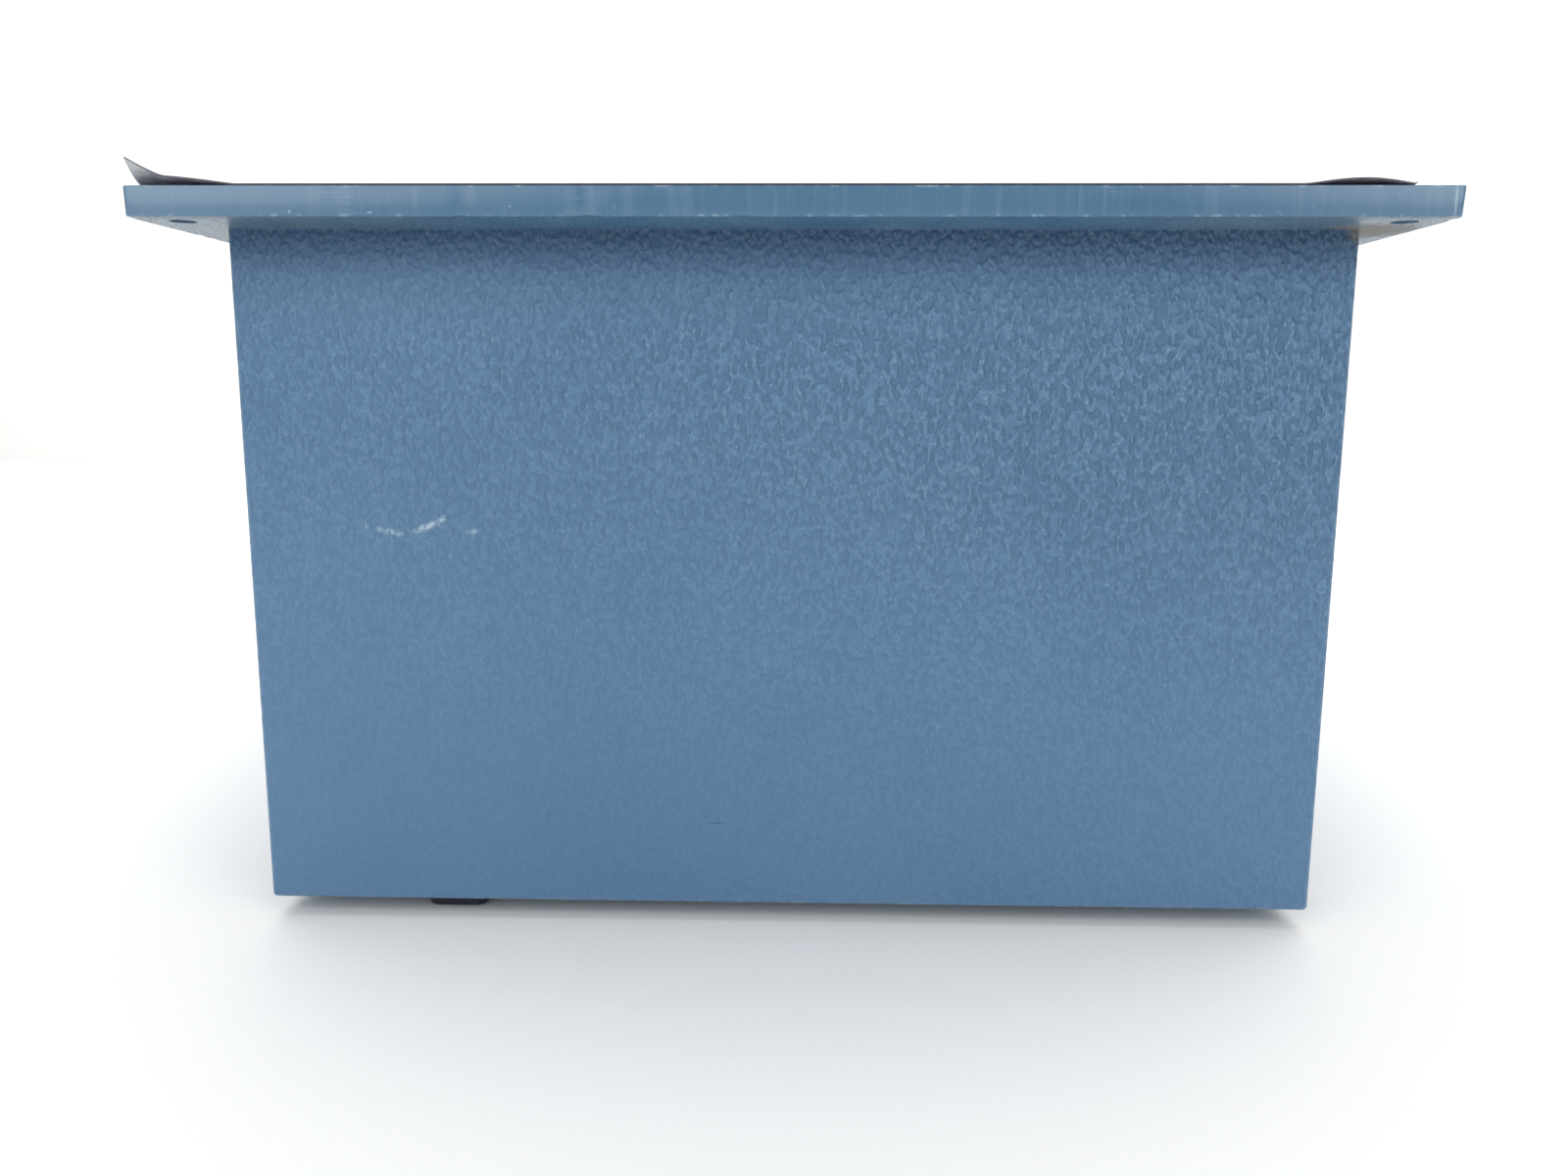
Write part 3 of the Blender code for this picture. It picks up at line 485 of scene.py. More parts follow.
def edge_wear(look):
    """Paler paint along the box's rounded edges, broken up by noise."""
    low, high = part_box("box_shell")
    half = (high - low) / 2
    sides = [look.minus(look.absolute(look.axis(n)), half[i]) for i, n in enumerate("XY")]
    back = look.minus(BACK, look.axis("Z"))
    corner = look.smaller(sides[0], sides[1])
    rim = look.smaller(look.larger(sides[0], sides[1]), back)
    reach = look.between(look.larger(corner, rim), -0.0012, -0.0003)
    return look.times(reach, look.between(look.noise(420, detail=4), 0.40, 0.65, 0.15, 0.8))


def plate_edge_look():
    """Smooth blue satin with the faint upright marks of the saw, a few rubbed spots, a painted highlight at
    one rounded corner and a painted reflection paling it towards both ends.
    """
    look = Look("plate_edge_blue", roughness=0.3, Specular_IOR_Level=0.6)
    marks = look.noise(1500, detail=3, place=look.scaled(1, 1, 0.04), roughness=0.65)
    wide = look.noise(260, detail=2, place=look.scaled(1, 1, 0.06))
    broad = look.noise(9, detail=2)
    base = look.mix(look.between(broad, 0.3, 0.7), (0.036, 0.108, 0.200), (0.050, 0.128, 0.218))
    low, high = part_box("face_plate")
    streaked = look.between(look.axis("X"), low.x, low.x * 0.45)
    toned = look.mix(look.between(marks, 0.45, 0.70, 0.0, 0.14), base, (0.115, 0.215, 0.310))
    pale = look.times(look.between(wide, 0.56, 0.66, 0.0, 0.18), streaked)
    toned = look.mix(pale, toned, (0.160, 0.255, 0.340))
    # Painted highlight: a pale upright line where the right end's corner starts to round.
    corner = (high.x - 0.0022, low.y, (low.z + high.z) / 2)
    painted_corner_highlight = look.spot(corner, (0.0004, 0.003, 0.0045), edge=0.3)
    toned = look.mix(look.times(painted_corner_highlight, 0.55), toned, (0.30, 0.42, 0.50))
    long_rubs = scratches(look, 240, (0.25, 0.25, 6), 0.012)
    toned = look.mix(look.times(long_rubs, 0.5), toned, (0.34, 0.45, 0.52))
    chips = look.between(look.noise(800, detail=2), 0.73, 0.77)
    z = look.axis("Z")
    rims = look.absolute(look.minus(z, (low.z + high.z) / 2))
    near_rim = look.between(rims, (high.z - low.z) / 2 - 0.0007, (high.z - low.z) / 2)
    wear = look.times(near_rim, look.between(look.noise(420, detail=3), 0.55, 0.70, 0.0, 0.7))
    toned = look.mix(look.larger(wear, chips), toned, (0.30, 0.42, 0.50))
    # Painted reflection: the edge is paled towards both ends.
    painted_reflection_towards_ends = look.between(look.absolute(look.axis("X")), 0.070, high.x, 0.0, 0.17)
    toned = look.mix(painted_reflection_towards_ends, toned, (0.24, 0.33, 0.40))
    relief = look.plus(marks, look.times(wide, 1.5))
    roughness = look.between(marks, 0.3, 0.75, 0.28, 0.34)
    return look.done(toned, roughness, look.bump(relief, 0.00002, 0.5))


def plate_under_look():
    """The plate's underside: the same blue, glossier and clouded, paled towards both ends by a painted
    reflection, specked with dirt and grimed at one corner.
    """
    look = Look("plate_underside_blue", roughness=0.3, Specular_IOR_Level=0.35)
    clouds = look.noise(55, detail=5, roughness=0.6)
    base = look.mix(look.between(clouds, 0.3, 0.7), (0.060, 0.145, 0.260), (0.105, 0.205, 0.310))
    # Painted reflection: the underside is paled towards both ends.
    painted_reflection_towards_ends = look.between(look.absolute(look.axis("X")), 0.050, 0.120, 0.0, 0.35)
    base = look.mix(painted_reflection_towards_ends, base, (0.165, 0.185, 0.185))
    specks = look.between(look.noise(1500, detail=4, roughness=0.6), 0.50, 0.66)
    toned = look.mix(look.times(specks, 0.65), base, (0.050, 0.060, 0.055))
    grimed_corner = look.spot(GRIME_PLACE, (0.022, 0.024, 0.01), edge=0.0)
    grime = look.between(look.times(grimed_corner, look.noise(900, detail=4)), 0.12, 0.42)
    toned = look.mix(grime, toned, (0.20, 0.195, 0.180))
    dull = look.larger(specks, grime)
    roughness = look.between(dull, 0.0, 1.0, 0.34, 0.75)
    return look.done(toned, roughness, look.bump(clouds, 0.0002, 0.25))


def plate_face_look():
    look = Look("plate_face_blue", roughness=0.45)
    cloud = look.noise(35, detail=4)
    base = look.mix(cloud, (0.085, 0.175, 0.285), (0.13, 0.235, 0.335))
    glue = look.between(look.noise(420, detail=5), 0.52, 0.70, 0.0, 0.2)
    toned = look.mix(glue, base, (0.42, 0.47, 0.48))
    return look.done(toned, look.between(cloud, 0.3, 0.7, 0.38, 0.6), look.bump(glue, 0.0001, 0.5))


def film_face_look():
    """The film's upper side: dark slate blue, satin, with hairline scratches, dust and handling haze."""
    look = Look("film_face", roughness=0.36, Specular_IOR_Level=0.5)
    cloud = look.noise(22, detail=5, roughness=0.6)
    base = look.mix(look.between(cloud, 0.3, 0.7), (0.020, 0.026, 0.052), (0.034, 0.042, 0.074))
    upright, level = (scratches(look, 150, lean, 0.010) for lean in ((9, 0.5, 1), (0.6, 8, 1)))
    hair = look.times(look.larger(upright, level), 0.5)
    toned = look.mix(hair, base, (0.20, 0.23, 0.28))
    dust = look.between(look.voronoi(420), 0.0, 0.13, 1.0, 0.0)
    dust = look.times(dust, look.between(look.noise(90), 0.5, 0.65))
    toned = look.mix(look.times(dust, 0.45), toned, (0.36, 0.38, 0.40))
    haze = look.between(look.noise(30, detail=3, distortion=0.4), 0.45, 0.75)
    toned = look.mix(look.times(haze, 0.06), toned, (0.30, 0.33, 0.38))
    roughness = look.between(haze, 0.0, 1.0, 0.30, 0.44)
    ripple = look.bump(look.noise(30, detail=3, distortion=0.6), 0.0014, 0.35)
    peel = look.bump(look.noise(900, detail=2), 0.00004, 0.5, under=ripple)
    return look.done(toned, roughness, peel)


def film_back_look():
    """The film's glued side: plum brown at the root of the curl, paler grey the higher it rises towards its
    tip.
    """
    look = Look("film_back", roughness=0.45)
    low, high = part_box("face_film")
    rise = look.minus(look.axis("Z"), low.z)
    blotch = look.noise(700, detail=3)
    pale = look.between(look.math("MULTIPLY_ADD", blotch, 0.0014, rise), 0.0014, 0.0046)
    dark = look.mix(look.between(blotch, 0.3, 0.7), (0.16, 0.14, 0.18), (0.32, 0.28, 0.32))
    return look.done(look.mix(pale, dark, (0.40, 0.43, 0.44)), None, look.bump(blotch, 0.0001, 0.5))


def film_edge_look():
    look = Look("film_cut_edge", roughness=0.5)
    blotch = look.noise(600, detail=2, place=look.scaled(1, 1, 0.2))
    return look.done(look.mix(blotch, (0.026, 0.026, 0.045), (0.085, 0.075, 0.085)))


def mottled_look(name, dark, light, roughness, scale, depth, strength=1.0, **fixed):
    """A dull surface that wanders between two tones, and rises a little where it is lighter."""
    look = Look(name, roughness=roughness, **fixed)
    blotch = look.noise(scale, detail=2)
    return look.done(look.mix(blotch, dark, light), None, look.bump(blotch, depth, strength))


def torn_look():
    return mottled_look("torn_film_fibres", (0.36, 0.37, 0.38), (0.72, 0.73, 0.72), 0.8, 1500, 0.0002)


def turned_metal(name, colour, roughness, depth=0.00003):
    """Metal brushed round the Z axis."""
    look = Look(name, roughness=roughness, metallic=1.0)
    x, y, z = (look.axis(n) for n in "XYZ")
    radius = look.math("SQRT", look.plus(look.times(x, x), look.times(y, y)))
    round_by = look.math("ARCTAN2", y, x)
    inputs = {"X": look.times(radius, 2600), "Y": look.times(z, 2600)}
    wrapped = look.add("CombineXYZ", {**inputs, "Z": look.times(round_by, 3)})
    lines = look.noise(1, detail=4, place=wrapped, roughness=0.7)
    smudge = look.noise(45, detail=4)
    return metal_finish(look, colour, roughness, lines, smudge, depth)


def brushed_metal(name, colour, roughness, grain, depth=0.00003):
    """Metal drawn or brushed along one axis: grain holds the small number for that axis."""
    look = Look(name, roughness=roughness, metallic=1.0)
    lines = look.noise(1, detail=4, place=look.scaled(*grain), roughness=0.7)
    smudge = look.noise(60, detail=4)
    return metal_finish(look, colour, roughness, lines, smudge, depth)


def metal_finish(look, colour, roughness, lines, smudge, depth):
    dark = tuple(c * 0.72 for c in colour)
    toned = look.mix(look.between(lines, 0.3, 0.7), dark, colour)
    toned = look.mix(look.between(smudge, 0.45, 0.75, 0.0, 0.45), toned, tuple(c * 0.5 for c in colour))
    varied = look.math("MULTIPLY_ADD", look.between(smudge, 0.3, 0.7), 0.18, roughness - 0.05)
    return look.done(toned, varied, look.bump(lines, depth, 0.6))


def zinc_look():
    """Zinc plate with a faint yellow and blue passivation bloom."""
    look = Look("zinc_plated_steel", roughness=0.34, metallic=1.0)
    bloom = look.noise(120, detail=3, distortion=0.8)
    toned = look.mix(look.between(bloom, 0.3, 0.7), (0.38, 0.39, 0.42), (0.47, 0.44, 0.36))
    tarnish = look.between(look.noise(480, detail=4), 0.58, 0.75, 0.0, 0.55)
    toned = look.mix(tarnish, toned, (0.25, 0.25, 0.24))
    return look.done(toned, look.between(bloom, 0.2, 0.8, 0.26, 0.46), look.bump(tarnish, 0.00004, 0.6))


def galvanised_look():
    """The bare inside of the box: zinc spangle, dulled, with patches of dust."""
    look = Look("galvanised_inside", roughness=0.45, metallic=0.75)
    flakes = look.voronoi(170, output="Color")
    shade = look.axis("X", flakes)
    toned = look.mix(look.between(shade, 0.1, 0.9), (0.36, 0.38, 0.39), (0.55, 0.57, 0.58))
    dirt = look.between(look.noise(26, detail=5, roughness=0.65), 0.50, 0.72, 0.0, 0.5)
    toned = look.mix(dirt, toned, (0.27, 0.26, 0.24))
    return look.done(toned, look.between(shade, 0.0, 1.0, 0.36, 0.56), look.bump(shade, 0.00005, 0.3))


def moulded_look(name, dark, light, roughness, dust=0.25):
    """A moulded plastic: fine speckle, satin skin, handling marks and patches of pale dust."""
    look = Look(name, roughness=roughness, Specular_IOR_Level=0.45)
    speck = look.noise(1800, detail=3)
    cloud = look.noise(70, detail=4)
    toned = look.mix(look.between(speck, 0.4, 0.7), dark, light)
    rub = scratches(look, 300, (3, 0.6, 1), 0.02)
    rubs_and_painted_highlight = tuple(min(1.0, c * 4 + 0.05) for c in light)
    toned = look.mix(look.times(rub, 0.35), toned, rubs_and_painted_highlight)
    settled = look.between(cloud, 0.48, 0.72, 0.0, dust)
    toned = look.mix(settled, toned, (0.30, 0.29, 0.27))
    varied = look.between(cloud, 0.3, 0.7, roughness - 0.08, roughness + 0.12)
    return look.done(toned, varied, look.bump(speck, 0.00006, 0.5))


def copper_look():
    """Bare copper bar: drawn lines, brown oxide patches and a few bright rubs."""
    look = Look("copper_bar", roughness=0.32, metallic=1.0)
    lines = look.noise(1, detail=4, place=look.scaled(2200, 60, 60), roughness=0.7)
    oxide = look.between(look.noise(75, detail=5, roughness=0.65), 0.42, 0.68)
    bright = look.mix(look.between(lines, 0.3, 0.7), (0.60, 0.29, 0.18), (0.72, 0.385, 0.25))
    toned = look.mix(look.times(oxide, 0.75), bright, (0.33, 0.15, 0.09))
    return look.done(toned, look.between(oxide, 0.0, 1.0, 0.26, 0.55), look.bump(lines, 0.00004, 0.6))


def grip_look():
    """Red moulded plastic, paler where hands have polished it."""
    look = Look("red_grip_plastic", roughness=0.38)
    cloud = look.noise(160, detail=4)
    toned = look.mix(look.between(cloud, 0.35, 0.7), (0.42, 0.022, 0.014), (0.60, 0.060, 0.035))
    roughness = look.between(cloud, 0.3, 0.7, 0.30, 0.50)
    return look.done(toned, roughness, look.bump(look.noise(1600), 0.00005, 0.5))


def floor_look():
    tones = ((0.80, 0.80, 0.79), (0.84, 0.84, 0.83))
    return mottled_look("pale_floor", *tones, 0.85, 900, 0.0001, 0.2, Specular_IOR_Level=0.2)


# The enclosure's own sizes, where the frame's boxes don't give them
BACK = 0.0048
WALL = 0.0025
LIP = 0.018
EDGE_RADIUS = 0.0012
BOSS = Vector((0.075, 0.115))
END_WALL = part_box("box_shell")[0].y
FACE_SCREWS = [middle_of(f"face_screw_{i}") for i in range(1, 5)]
PLATE_LOW, PLATE_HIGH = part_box("face_plate")
MOUNT_HOLES = [(sx * (PLATE_HIGH.x - 0.0086), sy * (PLATE_HIGH.y - 0.0080)) for sx, sy in CORNERS]
JOINTS = {joint["name"]: joint for joint in frame["joints"]}
SPRING_PLACES = (-0.0065, 0.0065)
LEVER_TURN = math.radians(100)
CARRIAGE_TRAVEL = 0.0044

# Marks: a stain and a nick on the plain end wall, grime under the plate, and the wall's chalky rubs,
# each with its centre, half sizes, lean and strength
STAIN_PLACE = (0.1264, END_WALL, 0.1665)
NICK_PLACE = (-0.0167, END_WALL, 0.0254)
GRIME_PLACE = (0.1290, END_WALL + 0.004, PLATE_LOW.z)
SCUFFS = [
    ((-0.0931, END_WALL, 0.0961), (0.0046, 0.002, 0.0011), math.radians(-12), 0.75),
    ((-0.0840, END_WALL, 0.0974), (0.0052, 0.002, 0.0012), math.radians(22), 0.95),
    ((-0.0806, END_WALL, 0.0992), (0.0016, 0.002, 0.0009), math.radians(45), 1.0),
    ((-0.0987, END_WALL, 0.0975), (0.0005, 0.002, 0.0013), math.radians(10), 0.7),
    ((-0.0733, END_WALL, 0.0963), (0.0024, 0.002, 0.0012), math.radians(5), 0.45),
]


# Enclosure

# The wall boss's section as (radius, height) points, and the radii of the holes and the bushing
BOSS_SECTION = [(0.0145, BACK), (0.0108, 0.0008), (0.0100, 0)]
BOSS_FLARE = 0.0165
BOSS_HOLE = 0.0035
SCREW_HOLE = 0.0024
BUSHING_BARREL = 0.0063
BUSHING_HOLE = 0.0066
BUSHING_BORE = 0.0035
KNOCKOUT_HEIGHT = 0.085


def knockout(radius, place, turn):
    """A cutter for a round scored groove, broken by two ties."""
    depth, width, tie = 0.001, 0.0011, 0.0024
    inner = radius - width
    ring = turned([(radius, depth), (radius, -depth), (inner, -depth), (inner, depth)], 96)
    return placed(carve(ring, block((radius * 3, tie, depth * 4))), place, turn)


def make_box(looks):
    low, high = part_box("box_shell")
    high.z = PLATE_LOW.z - 0.00003
    size = Vector((high.x - low.x, high.y - low.y, high.z - BACK))
    bm = bmesh.new()
    shape = Matrix.Translation((0, 0, (BACK + high.z) / 2)) @ Matrix.Diagonal((*size, 1))
    bmesh.ops.create_cube(bm, size=1, matrix=shape)
    top = max(bm.faces, key=lambda f: f.calc_center_median().z)
    bmesh.ops.inset_region(bm, faces=[top], thickness=LIP, use_even_offset=True)
    bmesh.ops.delete(bm, geom=[top], context="FACES")
    rounded = [e for e in bm.edges if min(v.co.z for v in e.verts) < high.z - 1e-6]
    bmesh.ops.bevel(bm, geom=rounded, offset=EDGE_RADIUS, segments=6, affect="EDGES", profile=0.5)
    shell = thickened(mesh_from(bm), WALL, -1, even=True)
    sunk = 0.001
    section = [(0, BACK + sunk), (BOSS_FLARE, BACK + sunk)] + BOSS_SECTION + [(0, 0)]
    foot = filleted(section, 0.0012, closed=False)
    bosses = [placed(turned(foot, 64), (sx * BOSS.x, sy * BOSS.y, 0)) for sx, sy in CORNERS]
    shell = carve(shell, gathered(bosses), "UNION")
    holes = [rod(BOSS_HOLE, 0.03, (sx * BOSS.x, sy * BOSS.y, 0)) for sx, sy in CORNERS]
    holes += [rod(SCREW_HOLE, 0.02, (screw.x, screw.y, high.z)) for screw in FACE_SCREWS]
    bushing = middle_of("rear_bushing")
    holes.append(rod(BUSHING_HOLE, 0.02, (bushing.x, bushing.y, BACK)))
    holes += [knockout(radius, (0, high.y, KNOCKOUT_HEIGHT), IN_XZ) for radius in (0.031, 0.0235)]
    holes += [knockout(0.017, (x, high.y, KNOCKOUT_HEIGHT), IN_XZ) for x in (-0.075, 0.075)]
    holes += [knockout(0.017, (x, 0.095, 0.06), ACROSS_X) for x in (low.x, high.x)]
    shell = carve(shell, gathered(holes))
    inner = Vector((high.x, high.y)) - Vector((WALL, WALL)) * 0.8

    def inside(normal, centre):
        between = BACK + WALL * 0.8 < centre.z < high.z - WALL * 0.8
        return int(between and abs(centre.x) < inner.x and abs(centre.y) < inner.y)

    piece("leather_grain_box", shell, looks, "box_shell", pick=inside)


def make_bushing(look):
    """A strain-relief bushing: a squared, tapered flange, a round barrel and a bore with eased mouths."""
    low, high, place = extent("rear_bushing")
    half = (high - low) / 2
    levels = [(0.92, low.z), (0.945, low.z + 0.0004), (0.99, BACK - 0.0016), (1.0, BACK - 0.0003)]
    outer = filleted(rectangle(-half, half), 0.003, steps=8)
    flange = lofted([[(x * share, y * share, z) for x, y in outer] for share, z in levels])
    foot = BACK - 0.001
    barrel = rod(BUSHING_BARREL, high.z - foot, (0, 0, (high.z + foot) / 2), segments=64)
    mesh = carve(flange, barrel, "UNION")
    flare, past = 0.0006, 0.001
    mouth = BUSHING_BORE + flare
    profile = [(mouth, high.z + past), (mouth, high.z), (BUSHING_BORE, high.z - flare)]
    profile += [(BUSHING_BORE, low.z + flare), (mouth, low.z), (mouth, low.z - past)]
    profile += [(0, low.z - past), (0, high.z + past)]
    mesh = carve(mesh, turned(profile, 64))
    mesh = placed(mesh, (place.x, place.y, 0))
    piece("rear_bushing_moulding", mesh, look, "rear_bushing", soften=0.0002)
    low, high, place = extent("rear_bushing_nut")
    nut = outline(regular(6, high.y - low.y, math.pi / 2 - math.pi / 6), high.z - low.z)
    nut = carve(nut, rod(BUSHING_HOLE, 0.02))
    piece("rear_bushing_locknut", placed(nut, place), look, "rear_bushing_nut", soften=0.0005)


def make_brackets(look):
    thickness, bend = 0.0025, 0.004
    for side in SIDES:
        low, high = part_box(f"support_bracket_{side}")
        x, foot_end = (low.x + high.x) / 2, high.y
        leg, bottom, top = 0.062, low.z + thickness / 2, high.z - thickness / 2
        half = [(leg, top), (leg, bottom), (foot_end, bottom)]
        path = [(-y, z) for y, z in half[::-1]] + half
        mesh = placed(bent_strip(path, thickness, high.x - low.x, bend), (x, 0, 0), IN_YZ)
        holes = [rod(0.0025, 0.02, (x, y, top), segments=32) for y in (-0.055, 0.055)]
        holes += [rod(0.0021, 0.02, (x, y, bottom), segments=32) for y in (-0.075, 0.075)]
        mesh = carve(mesh, gathered(holes))
        piece(f"bracket_{side}", mesh, look, f"support_bracket_{side}", soften=0.0004)


def dome(radius, base, rise, steps):
    """Points of a profile from the top of a dome, on the axis, down to its rim."""
    angles = [math.radians(90 - 90 * i / steps) for i in range(1, steps + 1)]
    return [(0, base + rise)] + [(radius * math.cos(a), base + rise * math.sin(a)) for a in angles]


def slotted_head(radius, height, slot, shank, length):
    """A pan-head screw with a domed, slotted head, its seat at Z = 0."""
    profile = dome(radius, height * 0.35, height * 0.65, 9)
    profile += [(radius, 0), (shank, 0), (shank, -length), (0, -length)]
    return carve(turned(profile, 48), block((radius * 3, slot, height), (0, 0, height)))


def make_base(looks):
    low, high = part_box("jaw_base")
    base_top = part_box("line_strap_left")[1].z - 0.0035
    thickness = base_top - low.z
    mesh = outline(filleted(rectangle(low, high), 0.006), thickness)
    mesh = placed(mesh, (0, 0, low.z + thickness / 2))
    root, rib_top = base_top - 0.002, base_top + 0.020
    rib = (0.003, 0.062, rib_top - root)
    ribs = [block(rib, (0, y, (rib_top + root) / 2)) for y in (-0.045, 0.045)]
    mesh = carve(mesh, gathered(ribs), "UNION")
    height, middle = high.z - root, (high.z + root) / 2
    posts = [rod(0.0022, height, (x, 0, middle), segments=32) for x in SPRING_PLACES]
    mesh = carve(mesh, gathered(posts), "UNION")
    screws = [middle_of(f"base_screw_{i}") for i in range(1, 5)]
    holes = [rod(0.0028, 0.04, (s.x, s.y, base_top), segments=32) for s in screws]
    pocket = (0.009, 0.034, 0.004)
    pockets = [block(pocket, (sx * 0.0125, sy * 0.046, base_top)) for sx, sy in CORNERS]
    mesh = carve(mesh, gathered(holes + pockets))
    piece("moulded_jaw_base", mesh, looks["phenolic"], "jaw_base", soften=0.0005)
    for i, screw in enumerate(screws, 1):
        low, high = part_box(f"base_screw_{i}")
        head = (high.x - low.x) / 2
        seat = base_top + 0.0003
        mesh = slotted_head(head, high.z - seat, 0.001, 0.0021, seat - low.z)
        mesh = placed(mesh, (screw.x, screw.y, seat), (0, 0, math.radians(37 * i)))
        piece(f"base_pan_screw_{i}", mesh, looks["zinc"], f"base_screw_{i}")


# Current path


def make_jaws(looks):
    slot, leaf = 0.0025, 0.0016
    pinch = slot / 2 + leaf / 2
    for end, side in PHASES:
        low, high, middle = extent(f"{end}_jaw_{side}")
        height, width = high.z - low.z, high.y - low.y
        right = [(0.0090, leaf / 2), (0.0090, 0.0150), (pinch, 0.0220), (pinch, 0.0300)]
        right.append((0.0056, height))
        path = [(-x, z) for x, z in right[::-1]] + right
        jaw = placed(bent_strip(path, leaf, width, 0.0016), (middle.x, middle.y, low.z), IN_XZ)
        lance = block((0.03, 0.0012, 0.012), (middle.x, middle.y, high.z - 0.004))
        name = f"{end}_meter_jaw_{side}"
        piece(name, carve(jaw, lance), looks["tinned"], f"{end}_jaw_{side}", soften=0.0003)
        low, high, middle = extent(f"{end}_jaw_spring_{side}")
        thickness = 0.0009
        x, y = (high.x - low.x - thickness) / 2, (high.y - low.y - thickness) / 2
        path = [(x, 0.002), (x, y), (-x, y), (-x, -y), (x, -y), (x, -0.002)]
        band = placed(bent_strip(path, thickness, high.z - low.z, 0.0008), middle)
        name = f"{end}_jaw_band_{side}"
        piece(name, band, looks["spring"], f"{end}_jaw_spring_{side}", soften=0.0001)


def make_straps(looks):
    thickness = 0.0032
    for end, side in PHASES:
        sy = ENDS[end]
        low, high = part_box(f"{end}_strap_{side}")
        x, top, bottom = (low.x + high.x) / 2, high.z - thickness / 2, low.z + thickness / 2
        reach = max(abs(low.y), abs(high.y))
        path = [(0.017, top), (0.0835, top), (0.0835, bottom), (reach, bottom)]
        path = [(sy * y, z) for y, z in path]
        mesh = placed(bent_strip(path, thickness, high.x - low.x, 0.0035), (x, 0, 0), IN_YZ)
        piece(f"{end}_bar_{side}", mesh, looks["copper"], f"{end}_strap_{side}", soften=0.0004)
        place = Vector((x, sy * 0.071, high.z))
        section = [(0.0058, 0.0010), (0.0058, 0), (0.0020, 0), (0.0020, 0.0010)]
        washer = turned(filleted(section, 0.0002), 48)
        name = f"{end}_bar_washer_{side}"
        piece(name, placed(washer, place), looks["zinc"], body="enclosure", slot="zinc")
        bolt = outline(regular(6, 0.0080, 0.4), 0.0034)
        name = f"{end}_bar_bolt_{side}"
        bolt = placed(bolt, place + Vector((0, 0, 0.0028)))
        piece(name, bolt, looks["zinc"], body="enclosure", slot="zinc", soften=0.0004)


def make_lug(node, look, wire_radius, wire_height, clamp_radius):
    low, high, middle = extent(node)
    width, height = high.x - low.x, high.z - low.z
    corner = [(-width / 2, 0), (width / 2, 0)]
    shoulders = [(width / 2, height), (-width / 2, height)]
    points = corner + filleted(shoulders + corner, 0.004)[:12]
    mesh = placed(outline(points, high.y - low.y), (middle.x, middle.y, low.z), IN_XZ)
    mesh = carve(mesh, rod(wire_radius, 0.1, (middle.x, middle.y, low.z + wire_height), IN_XZ))
    clamp_hole = rod(clamp_radius + 0.0003, height, (middle.x, middle.y, low.z + wire_height + height / 2))
    mesh = carve(mesh, clamp_hole)
    piece(f"{node}_body", mesh, look, node, soften=0.00045)


def make_clamp_screw(node, look):
    """A headless clamp screw with ridges for its thread and a hexagon socket."""
    low, high, middle = extent(node)
    radius, length, pitch = (high.y - low.y) / 2, high.z - low.z, 0.0012
    chamfer = radius * 0.15
    profile = [(0, length), (radius - chamfer, length)]
    turns = int((length - 2 * chamfer) / pitch)
    for i in range(turns):
        crest = length - chamfer - pitch * i
        profile += [(radius, crest), (radius, crest - pitch * 0.3)]
        profile.append((radius - pitch * 0.4, crest - pitch * 0.65))
    profile += [(radius - chamfer, 0), (0, 0)]
    socket = placed(outline(regular(6, radius * 1.0), length), (0, 0, length))
    mesh = carve(turned(profile, 64), socket)
    piece(f"{node}_set_screw", placed(mesh, (middle.x, middle.y, low.z)), look, node, sharp=30)


def make_lugs(looks):
    phase = [f"{end}_lug_{side}" for end, side in PHASES]
    for node in phase + [f"neutral_lug_{end}" for end in ENDS]:
        make_lug(node, looks["lug"], 0.00775, 0.011, 0.0058)
    make_lug("ground_lug", looks["lug"], 0.0042, 0.0065, 0.0038)
    screws = [f"{end}_lug_screw_{side}" for end, side in PHASES]
    screws += [f"neutral_lug_screw_{end}" for end in ENDS] + ["ground_lug_screw"]
    for node in screws:
        make_clamp_screw(node, looks["zinc"])


def make_neutral(looks):
    low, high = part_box("neutral_bar")
    bar = outline(filleted(rectangle(low, high), 0.004), high.z - low.z)
    mesh = placed(bar, (0, 0, (low.z + high.z) / 2))
    piece("neutral_busbar", mesh, looks["tinned"], "neutral_bar", soften=0.0005)
    for end, sy in ENDS.items():
        low, high, middle = extent(f"neutral_post_{end}")
        post = placed(outline(regular(6, high.y - low.y, math.pi / 6), high.z - low.z), middle)
        piece(f"neutral_standoff_{end}", post, looks["zinc"], f"neutral_post_{end}", soften=0.0004)
        bar_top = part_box("neutral_bar")[1].z
        bolt = placed(outline(regular(6, 0.0110, 0.3), 0.0045), (middle.x, middle.y, bar_top + 0.00235))
        name = f"neutral_bar_bolt_{end}"
        piece(name, bolt, looks["zinc"], body="enclosure", slot="zinc", soften=0.0005)


# Lever bypass


